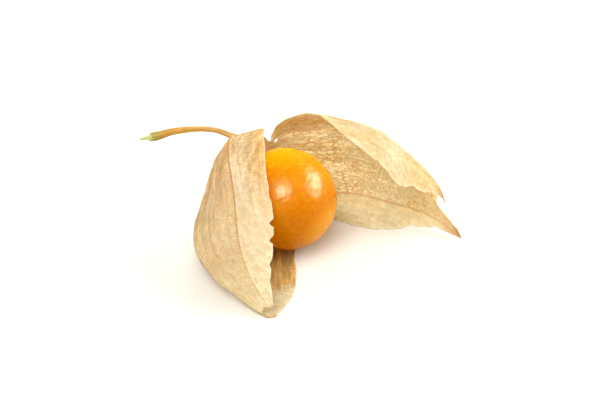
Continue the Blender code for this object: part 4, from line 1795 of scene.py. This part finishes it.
@dataclass(frozen=True)
class PaperFinish:
    """Dry calyx paper: cream outside and tan inside, with brown veins, that lets light through."""

    outside: Colour = (0.95, 0.86, 0.615)
    inside: Colour = (0.945, 0.925, 0.745)
    golden: Colour = (0.94, 0.72, 0.36)
    # Painted shade where the gold is strongest inside, mostly the left lobe's hollow
    shaded: Colour = (1.0, 0.70, 0.26)
    # Painted shade in the dips of the wrinkles
    hollow: Colour = (0.90, 0.78, 0.53)
    # Painted light on the rises of the wrinkles
    swell: Colour = (1.05, 1.06, 1.05)
    # Darker golden creases: the paper's crease lines, partly painted shade
    shaded_creases: Colour = (0.88, 0.72, 0.44)
    # Pale paper, with painted light and a painted highlight
    pale_and_lit_colour: Colour = (1.0, 0.965, 0.80)
    vein: Colour = (0.54, 0.27, 0.06)
    rib: Colour = (0.62, 0.29, 0.05)
    torn: Colour = (0.99, 0.94, 0.80)
    tip: Colour = (0.64, 0.35, 0.09)
    vein_share_outside: float = 0.5
    vein_share_inside: float = 1.0
    rib_share: float = 0.9
    rib_fading: float = 0.3
    crease_share: float = 0.6
    crease_share_inside: float = 0.4
    gold_share: float = 0.8
    gold_share_through: float = 0.7
    pale_and_lit_share: float = 0.7
    torn_share: float = 0.9
    speck_share: float = 0.12
    shaded_streaks: float = 3.2
    patch_size: float = 260.0
    blotch_size: float = 900.0
    patch_contrast: float = 2.4
    fineness: float = 2.2
    net_cells: float = 1.65
    wrinkle_scale: float = 0.8
    seen_through: Colour = (0.95, 0.93, 0.755)
    seen_through_line: Colour = (0.80, 0.54, 0.25)
    translucency: float = 0.5
    roughness: float = 0.6
    polish: float = 0.12
    bump_depth: float = 0.00007

    def patterns(self, graph: Graph, mottle: bpy.types.NodeTree,
                 fibres: bpy.types.NodeTree) -> PaperPatterns:
        """Read the map and the painted amounts, and lay the patterns over the paper.

        Args:
            graph: The material's graph.
            mottle: The group of soft patches.
            fibres: The group of lengthwise fibres.

        Returns:
            The patterns' outputs.
        """
        flat = graph.add("UVMap", uv_map="paper").outputs[0]
        apart = graph.add("SeparateXYZ")
        graph.feed(apart.inputs[0], flat)
        place = graph.add("TexCoord").outputs["Object"]
        patches, blotches = (
            graph.place_group(mottle, Vector=place, Size=size, Contrast=self.patch_contrast)
            for size in (self.patch_size, self.blotch_size))
        strands = graph.place_group(fibres, Vector=flat, Fineness=self.fineness)
        return PaperPatterns(
            flat, apart.outputs["Y"], patches.outputs["Patches"], patches.outputs["Specks"],
            blotches.outputs["Patches"], strands.outputs["Fibres"], self.crinkles(graph, flat),
            *(graph.amount(name) for name in ("inside", "pale_and_lit", "gold_and_shade", "streak")))

    def crinkles(self, graph: Graph, flat: Socket) -> Socket:
        """Draw the sharp irregular creases of dry paper, from a ridged noise, 0 to 1.

        Args:
            graph: The material's graph.
            flat: The paper's map, in millimetres.

        Returns:
            How strong the creases are.
        """
        ridges = graph.add("TexNoise", noise_type="RIDGED_MULTIFRACTAL", normalize=False)
        for name, value in (("Vector", flat), ("Scale", self.wrinkle_scale), ("Detail", 3.0),
                            ("Roughness", 0.7), ("Offset", 1.0), ("Gain", 1.0)):
            graph.feed(ridges.inputs[name], value)
        return graph.spread(ridges.outputs[0], 1.0, 2.4)

    def net(self, graph: Graph, flat: Socket, width: float, length: float) -> Socket:
        """Draw a ragged net of thin lines over the paper.

        The lines are the borders of the cells of a Voronoi pattern on coordinates that a noise
        has shifted, so that they run unevenly.

        Args:
            graph: The material's graph.
            flat: The paper's map, in millimetres.
            width: Share of the full number of cells round the husk.
            length: The same along the husk: less draws the cells out lengthwise.

        Returns:
            The lines, 0 to 1.
        """
        cells = graph.add("TexVoronoi", feature="DISTANCE_TO_EDGE")
        shifted = graph.warped(graph.warped(flat, 0.7, 1.1), 2.6, 0.35)
        graph.feed(cells.inputs["Vector"], graph.stretched(shifted, (width, length, 1.0)))
        graph.feed(cells.inputs["Scale"], self.net_cells)
        return graph.spread(cells.outputs["Distance"], 0.13, 0.02)

    def finest(self, graph: Graph, seen: PaperPatterns) -> Socket:
        """Draw the finest net, which is drawn out near the stem and lost by upper torn edges.

        Args:
            graph: The material's graph.
            seen: The paper's patterns.

        Returns:
            How strong its lines are, 0 to 1.
        """
        by_stalk = graph.spread(seen.along, 24.0, 15.0)
        nets = [self.net(graph, seen.flat, *shares) for shares in ((1.0, 0.85), (0.95, 0.42))]
        left = graph.spread(graph.amount("smooth"), 0.0, 1.0, 0.95, 0.12)
        return graph.product(graph.mix(by_stalk, *nets), left)

    def lines(self, graph: Graph, seen: PaperPatterns, finest: Socket) -> Socket:
        """Gather veins and nets, fainter in patches, outside, on pale paper and by the tips.

        Args:
            graph: The material's graph.
            seen: The paper's patterns.
            finest: The finest net's lines.

        Returns:
            How strong all the lines are, 0 to 1.
        """
        veins = graph.product(graph.spread(graph.amount("vein_way"), 0.17, 0.06), 0.9)
        net = graph.product(graph.spread(graph.amount("net_way"), 0.11, 0.02), 0.5)
        return graph.product(
            graph.math("MAXIMUM", graph.math("MAXIMUM", veins, net), finest),
            graph.spread(seen.patches, 0.1, 0.7, 0.55, 1.0),
            graph.spread(seen.inside, 0.0, 1.0, self.vein_share_outside, self.vein_share_inside),
            graph.spread(seen.pale_and_lit, 0.0, 1.0, 1.0, 0.35),
            graph.spread(seen.along, 18.0, 30.0, 1.0, 0.75))

    def rib_line(self, graph: Graph, seen: PaperPatterns) -> Socket:
        """Draw the ribs' brown lines, which fade towards the tips on the outer face.

        Args:
            graph: The material's graph.
            seen: The paper's patterns.

        Returns:
            How strong the lines are, 0 to 1.
        """
        line = graph.product(graph.spread(graph.amount("rib_way"), 0.17, 0.07), self.rib_share)
        faded = graph.spread(seen.along, 18.0, 36.0, 1.0, self.rib_fading)
        return graph.product(line, graph.math("MAXIMUM", faded, seen.inside))

    def tint(self, graph: Graph, seen: PaperPatterns) -> Socket:
        """Work out the tint that folds, creases, patches and strands give the paper.

        The folds give painted light on their rises and painted shade in their dips, and the creases
        darker golden lines that are partly painted shade. Strands are strong near the stem and in
        the hollow's painted shade, and faint on pale paper.

        Args:
            graph: The material's graph.
            seen: The paper's patterns.

        Returns:
            The colour that the paper's own is multiplied by.
        """
        # Painted shade in the dips of the folds and painted light on their rises
        tint = graph.mix(graph.spread(graph.amount("fold_light_and_shade"), 0.0, 1.0), self.hollow, self.swell)
        inner_share = self.crease_share_inside * self.crease_share
        share = graph.product(graph.spread(seen.inside, 0.0, 1.0, self.crease_share, inner_share),
                              graph.spread(seen.pale_and_lit, 0.0, 1.0, 1.0, 0.55))
        # Darker golden creases, partly painted shade
        tint = graph.mix(graph.product(seen.shaded_creases, share), tint, self.shaded_creases)
        tint = graph.tinted(tint, graph.spread(seen.patches, 0.0, 1.0, 0.96, 1.04))
        tint = graph.tinted(tint, graph.spread(seen.blotches, 0.1, 0.9, 0.94, 1.05))
        near_stem = graph.spread(seen.along, 18.0, 28.0, 1.0, 0.4)
        in_hollow = graph.product(seen.inside, seen.gold_and_shade, self.shaded_streaks)
        share = graph.product(graph.math("MAXIMUM", near_stem, in_hollow),
                              graph.spread(seen.pale_and_lit, 0.0, 1.0, 1.0, 0.35))
        dark_strand = graph.product(graph.spread(seen.streak, 0.1, 0.9, 0.11, -0.07), share)
        return graph.tinted(tint, graph.math("SUBTRACT", 1.0, dark_strand))

    def material(self, mottle: bpy.types.NodeTree, fibres: bpy.types.NodeTree) -> bpy.types.Material:
        """Make the material: a matt paper mixed with the light that comes through it.

        Args:
            mottle: The group of soft patches.
            fibres: The group of lengthwise fibres.

        Returns:
            The material.
        """
        material, graph, shader = new_material("husk_paper")
        seen = self.patterns(graph, mottle, fibres)
        finest = self.finest(graph, seen)
        lines, rib_line = self.lines(graph, seen, finest), self.rib_line(graph, seen)
        tint = self.tint(graph, seen)
        tip = graph.product(graph.amount("tip"), graph.spread(seen.streak, 0.25, 0.7, 0.4, 0.95))

        colour = graph.mix(seen.inside, self.outside, self.inside)
        # Gold, partly painted shade
        colour = graph.mix(graph.product(seen.gold_and_shade, self.gold_share), colour, self.golden)
        # Painted shade: deep orange-brown inside, where the gold is strongest
        deep = graph.product(graph.spread(seen.gold_and_shade, 0.6, 1.0, 0.0, 0.85), seen.inside)
        colour = graph.mix(deep, colour, self.shaded)
        # Pale paper, with painted light and a painted highlight
        colour = graph.mix(graph.product(seen.pale_and_lit, self.pale_and_lit_share), colour, self.pale_and_lit_colour)
        colour = graph.tinted(colour, tint)
        colour = graph.mix(lines, colour, self.vein)
        colour = graph.mix(rib_line, colour, self.rib)
        colour = graph.mix(graph.product(graph.amount("tear"), self.torn_share), colour, self.torn)
        colour = graph.mix(tip, colour, self.tip)
        colour = graph.mix(graph.product(seen.specks, self.speck_share), colour, self.vein)
        graph.feed(shader.inputs["Base Color"], colour)
        rough = graph.spread(seen.strands, 0.2, 0.8, self.roughness - 0.1, self.roughness + 0.12)
        graph.feed(shader.inputs["Roughness"], rough)
        height = graph.math("ADD", graph.product(seen.shaded_creases, -1.0), seen.strands)
        height = graph.math("ADD", height, graph.product(finest, -0.5))
        bumped = graph.bump(height, self.bump_depth)
        graph.feed(shader.inputs["Normal"], bumped)
        shader.inputs["Specular IOR Level"].default_value = self.polish

        behind = graph.add("BsdfTranslucent")
        gold = graph.product(seen.gold_and_shade, self.gold_share_through)
        passed = graph.tinted(graph.mix(gold, self.seen_through, self.golden), tint)
        passed = graph.mix(graph.math("MAXIMUM", lines, rib_line), passed, self.seen_through_line)
        graph.feed(behind.inputs["Color"], graph.mix(tip, passed, self.tip))
        graph.feed(behind.inputs["Normal"], bumped)
        blend = graph.add("MixShader")
        mixed = (self.translucency, shader.outputs[0], behind.outputs[0])
        for socket, value in zip(blend.inputs, mixed):
            graph.feed(socket, value)
        graph.feed(material.node_tree.nodes["Material Output"].inputs["Surface"], blend.outputs[0])
        return material


@dataclass(frozen=True)
class SkinFinish:
    """Ripe fruit skin: deep orange flesh that light sinks into, under a thin waxy gloss."""

    ripe: Colour = (0.62, 0.238, 0.0)
    pale: Colour = (0.87, 0.375, 0.002)
    deep: Colour = (0.64, 0.188, 0.0)
    # Painted shade on the berry's lower side, away from the stalk
    bottom_shade: Colour = (0.50, 0.142, 0.0)
    # Painted reflection of the bright floor on the lower right
    floor_reflection: Colour = (0.88, 0.42, 0.03)
    flesh_depth: float = 0.0022
    flesh_weight: float = 0.55
    flesh_reach: Colour = (1.0, 0.30, 0.04)
    patch_size: float = 170.0
    pore_size: float = 1500.0
    roughness: float = 0.28
    polish: float = 0.065
    bump_depth: float = 0.00005

    def material(self, mottle: bpy.types.NodeTree) -> bpy.types.Material:
        """Make the material.

        Args:
            mottle: The group of soft patches.

        Returns:
            The material.
        """
        material, graph, shader = new_material("berry_skin")
        place = graph.add("TexCoord").outputs["Object"]
        patches = graph.place_group(mottle, Vector=place, Size=self.patch_size, Contrast=2.2)
        colour = graph.mix(patches.outputs["Patches"], self.deep, self.ripe)
        colour = graph.mix(graph.product(patches.outputs["Specks"], 0.5), colour, self.pale)
        from_stalk = graph.amount("from_stalk")
        # Paler towards the stalk, and painted shade towards the far end, at the bottom
        colour = graph.mix(graph.spread(from_stalk, 0.50, 0.20, 0.0, 0.75), colour, self.pale)
        colour = graph.mix(graph.spread(from_stalk, 0.54, 0.78, 0.0, 0.85), colour, self.bottom_shade)
        peel = graph.add("TexNoise")
        graph.feed(peel.inputs["Vector"], place)
        graph.feed(peel.inputs["Scale"], self.pore_size)
        graph.feed(peel.inputs["Detail"], 2.0)
        # Pale specks of the peel, strongest on the upper half: partly painted glints
        pore_specks_and_glints = graph.product(graph.spread(peel.outputs[0], 0.46, 0.66),
                              graph.spread(from_stalk, 0.62, 0.30, 0.15, 0.6))
        colour = graph.mix(pore_specks_and_glints, colour, self.pale)
        # Painted reflection of the floor at the lower right rim
        floor_reflection = graph.spread(graph.amount("floor_reflection"), 0.78, 1.0, 0.0, 0.45)
        colour = graph.mix(floor_reflection, colour, self.floor_reflection)
        graph.feed(shader.inputs["Base Color"], colour)
        rough = graph.spread(patches.outputs["Patches"], 0.0, 1.0, self.roughness - 0.05,
                             self.roughness + 0.08)
        graph.feed(shader.inputs["Roughness"], rough)
        graph.feed(shader.inputs["Normal"], graph.bump(peel.outputs[0], self.bump_depth))
        shader.inputs["Specular IOR Level"].default_value = self.polish
        shader.inputs["Subsurface Weight"].default_value = self.flesh_weight
        shader.inputs["Subsurface Radius"].default_value = self.flesh_reach
        shader.inputs["Subsurface Scale"].default_value = self.flesh_depth
        return material


@dataclass(frozen=True)
class BarkFinish:
    """Drying stalk: a pale green core, amber bark that is olive by the tear and tan by the husk."""

    core: Colour = (0.50, 0.56, 0.22)
    olive: Colour = (0.39, 0.335, 0.05)
    amber: Colour = (0.60, 0.30, 0.015)
    tan: Colour = (0.56, 0.31, 0.08)
    brown: Colour = (0.36, 0.18, 0.05)
    length: float = 24.0
    patch_size: float = 420.0
    fineness: float = 3.2
    roughness: float = 0.5
    polish: float = 0.2
    bump_depth: float = 0.00005
    flesh_weight: float = 0.15
    flesh_reach: Colour = (1.0, 0.5, 0.2)
    flesh_depth: float = 0.0006

    def material(self, mottle: bpy.types.NodeTree, fibres: bpy.types.NodeTree) -> bpy.types.Material:
        """Make the material.

        Args:
            mottle: The group of soft patches.
            fibres: The group of lengthwise fibres.

        Returns:
            The material.
        """
        material, graph, shader = new_material("stem_bark")
        flat = graph.add("UVMap", uv_map="paper").outputs[0]
        place = graph.add("TexCoord").outputs["Object"]
        patches = graph.place_group(mottle, Vector=place, Size=self.patch_size, Contrast=2.0)
        strands = graph.place_group(fibres, Vector=flat, Fineness=self.fineness).outputs["Fibres"]
        travelled = graph.math("DIVIDE", graph.amount("travelled"), self.length)
        colour = graph.ramp(travelled, (
            (0.0, self.olive), (0.12, self.olive), (0.22, self.amber), (0.45, self.amber),
            (0.70, self.tan), (1.0, self.tan)))
        # Brown painted shade in the grooves
        colour = graph.mix(graph.product(graph.amount("groove_shade"), 0.45), colour, self.brown)
        colour = graph.tinted(colour, graph.spread(strands, 0.25, 0.75, 0.78, 1.14))
        tone = graph.spread(patches.outputs["Patches"], 0.0, 1.0, 0.82, 1.12)
        colour = graph.mix(graph.amount("core"), graph.tinted(colour, tone), self.core)
        graph.feed(shader.inputs["Base Color"], colour)
        rough = graph.spread(strands, 0.2, 0.8, self.roughness - 0.1, self.roughness + 0.15)
        graph.feed(shader.inputs["Roughness"], rough)
        graph.feed(shader.inputs["Normal"], graph.bump(strands, self.bump_depth))
        shader.inputs["Specular IOR Level"].default_value = self.polish
        shader.inputs["Subsurface Weight"].default_value = self.flesh_weight
        shader.inputs["Subsurface Radius"].default_value = self.flesh_reach
        shader.inputs["Subsurface Scale"].default_value = self.flesh_depth
        return material


# --- The studio ---


@dataclass(frozen=True)
class SoftBox:
    """A soft light: where it stands as seen from the fruit, its size in metres and its power."""

    name: str
    towards: Point
    distance: float
    width: float
    height: float
    power: float
    long_way: Point = (0.0, 0.0, 1.0)
    only_gloss: bool = False
    colour: Colour = (1.0, 1.0, 1.0)


@dataclass
class Studio:
    """The pale floor, the soft light and the camera.

    The middle, the camera's distance and its moves to the right and up are in millimetres.
    """

    middle: Point = (0.0, 0.0, 9.95)
    elevation: float = 34.0
    distance: float = 304.17
    right: float = 3.525
    up: float = -0.895
    lens: float = 100.0
    floor_size: float = 6.0
    floor_drop: float = 0.03
    floor_colour: Colour = (0.758, 0.75, 0.718)
    sky: float = 0.26
    sky_colour: Colour = (1.0, 0.87, 0.60)
    boxes: tuple[SoftBox, ...] = (
        SoftBox("top_light", (0.0, -0.1, 1.0), 1.0, 0.9, 0.9, 3.2),
        SoftBox("back_light", (0.25, 0.9, 0.42), 1.0, 0.8, 0.5, 7.6),
        SoftBox("right_light", (0.84, 0.14, 0.52), 0.8, 0.5, 0.5, 5.2),
        SoftBox("front_light", (-0.165, -0.587, 0.790), 0.8, 0.5, 0.5, 4.8),
        SoftBox("left_light", (-0.84, 0.1, 0.52), 0.8, 0.5, 0.5, 1.6),
        SoftBox("window_gloss", (0.842, 0.139, 0.522), 0.62, 0.23, 0.45, 40.0, (-0.28, 0.95, 0.1),
                only_gloss=True, colour=(1.0, 0.93, 0.70)),
        SoftBox("front_gloss", (-0.165, -0.587, 0.790), 0.6, 0.24, 0.26, 27.0,
                only_gloss=True, colour=(1.0, 0.93, 0.66)),
    )

    def build(self) -> None:
        """Set up floor, surroundings, lights and camera."""
        self.lay_floor()
        self.light_surroundings()
        for box in self.boxes:
            self.hang(box)
        self.place_camera()

    def lay_floor(self) -> None:
        """Lay the floor just below the husk's sole."""
        half, below = 0.5 * self.floor_size / MM, -self.floor_drop
        corners = np.array([(-half, -half, below), (half, -half, below), (half, half, below),
                            (-half, half, below)])
        floor = make_piece("floor", corners, np.array([[0, 1, 2, 3]]))
        material, _, shader = new_material("floor_card")
        shader.inputs["Base Color"].default_value = (*self.floor_colour, 1.0)
        shader.inputs["Roughness"].default_value = 0.9
        shader.inputs["Specular IOR Level"].default_value = 0.1
        floor.data.materials.append(material)

    def light_surroundings(self) -> None:
        """Give an even warm light from all round."""
        scene = bpy.context.scene
        scene.world = scene.world or bpy.data.worlds.new("surroundings")
        scene.world.use_nodes = True
        background = scene.world.node_tree.nodes["Background"]
        background.inputs["Color"].default_value = (*self.sky_colour, 1.0)
        background.inputs["Strength"].default_value = self.sky
        scene.world.cycles_visibility.glossy = False
        scene.view_settings.view_transform = "Standard"

    def hang(self, box: SoftBox) -> None:
        """Hang one soft light that faces the fruit.

        Args:
            box: The light's sizes and place.
        """
        lamp = bpy.data.lights.new(box.name, "AREA")
        lamp.shape, lamp.size, lamp.size_y = "RECTANGLE", box.width, box.height
        lamp.energy, lamp.color = box.power, box.colour
        holder = bpy.data.objects.new(box.name, lamp)
        towards = Vector(box.towards).normalized()
        wide_way = Vector(box.long_way).cross(towards).normalized()
        facing = Matrix((wide_way, towards.cross(wide_way), towards)).transposed()
        holder.location = Vector(self.middle) * MM + towards * box.distance
        holder.rotation_euler = facing.to_euler()
        holder.visible_diffuse = not box.only_gloss
        holder.visible_glossy = box.only_gloss
        holder.visible_camera = False
        bpy.context.scene.collection.objects.link(holder)

    def place_camera(self) -> None:
        """Place the camera in front of the fruit, looking down at it."""
        lens = bpy.data.cameras.new("camera")
        lens.lens = self.lens
        camera = bpy.data.objects.new("camera", lens)
        tilt = np.radians(self.elevation)
        forward = np.array([0.0, np.cos(tilt), -np.sin(tilt)])
        upward = np.array([0.0, np.sin(tilt), np.cos(tilt)])
        place = np.array(self.middle) - self.distance * forward + self.up * upward
        camera.location = Vector((place + (self.right, 0.0, 0.0)) * MM)
        camera.rotation_euler = (np.radians(90.0 - self.elevation), 0.0, 0.0)
        bpy.context.scene.collection.objects.link(camera)
        bpy.context.scene.camera = camera


# --- The whole berry ---


def settle(piece: bpy.types.Object, node: str, material: bpy.types.Material) -> None:
    """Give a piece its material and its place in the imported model.

    Args:
        piece: The mesh object.
        node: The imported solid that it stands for.
        material: Its finish.
    """
    piece.data.materials.append(material)
    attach(piece, "root")
    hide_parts(node)
    LOG.info("%s: %d faces", piece.name, len(piece.data.polygons))


def main() -> None:
    """Build the husk, the fruit, the stem and the studio."""
    logging.basicConfig(level=logging.INFO, format="%(name)s: %(message)s")
    mottle, fibres = mottle_group(), fibre_group()
    husk = Husk()
    paper = PaperFinish().material(mottle, fibres)
    for lobe in Lobe:
        settle(husk.build(lobe), "husk", paper)
    fruit = Berry().build(husk.sheet.axis)
    settle(fruit, "berry", SkinFinish().material(mottle))
    stalk = Stem().build(husk.sheet)
    settle(stalk, "stem", BarkFinish().material(mottle, fibres))
    Studio().build()


if __name__ == "__main__":
    main()
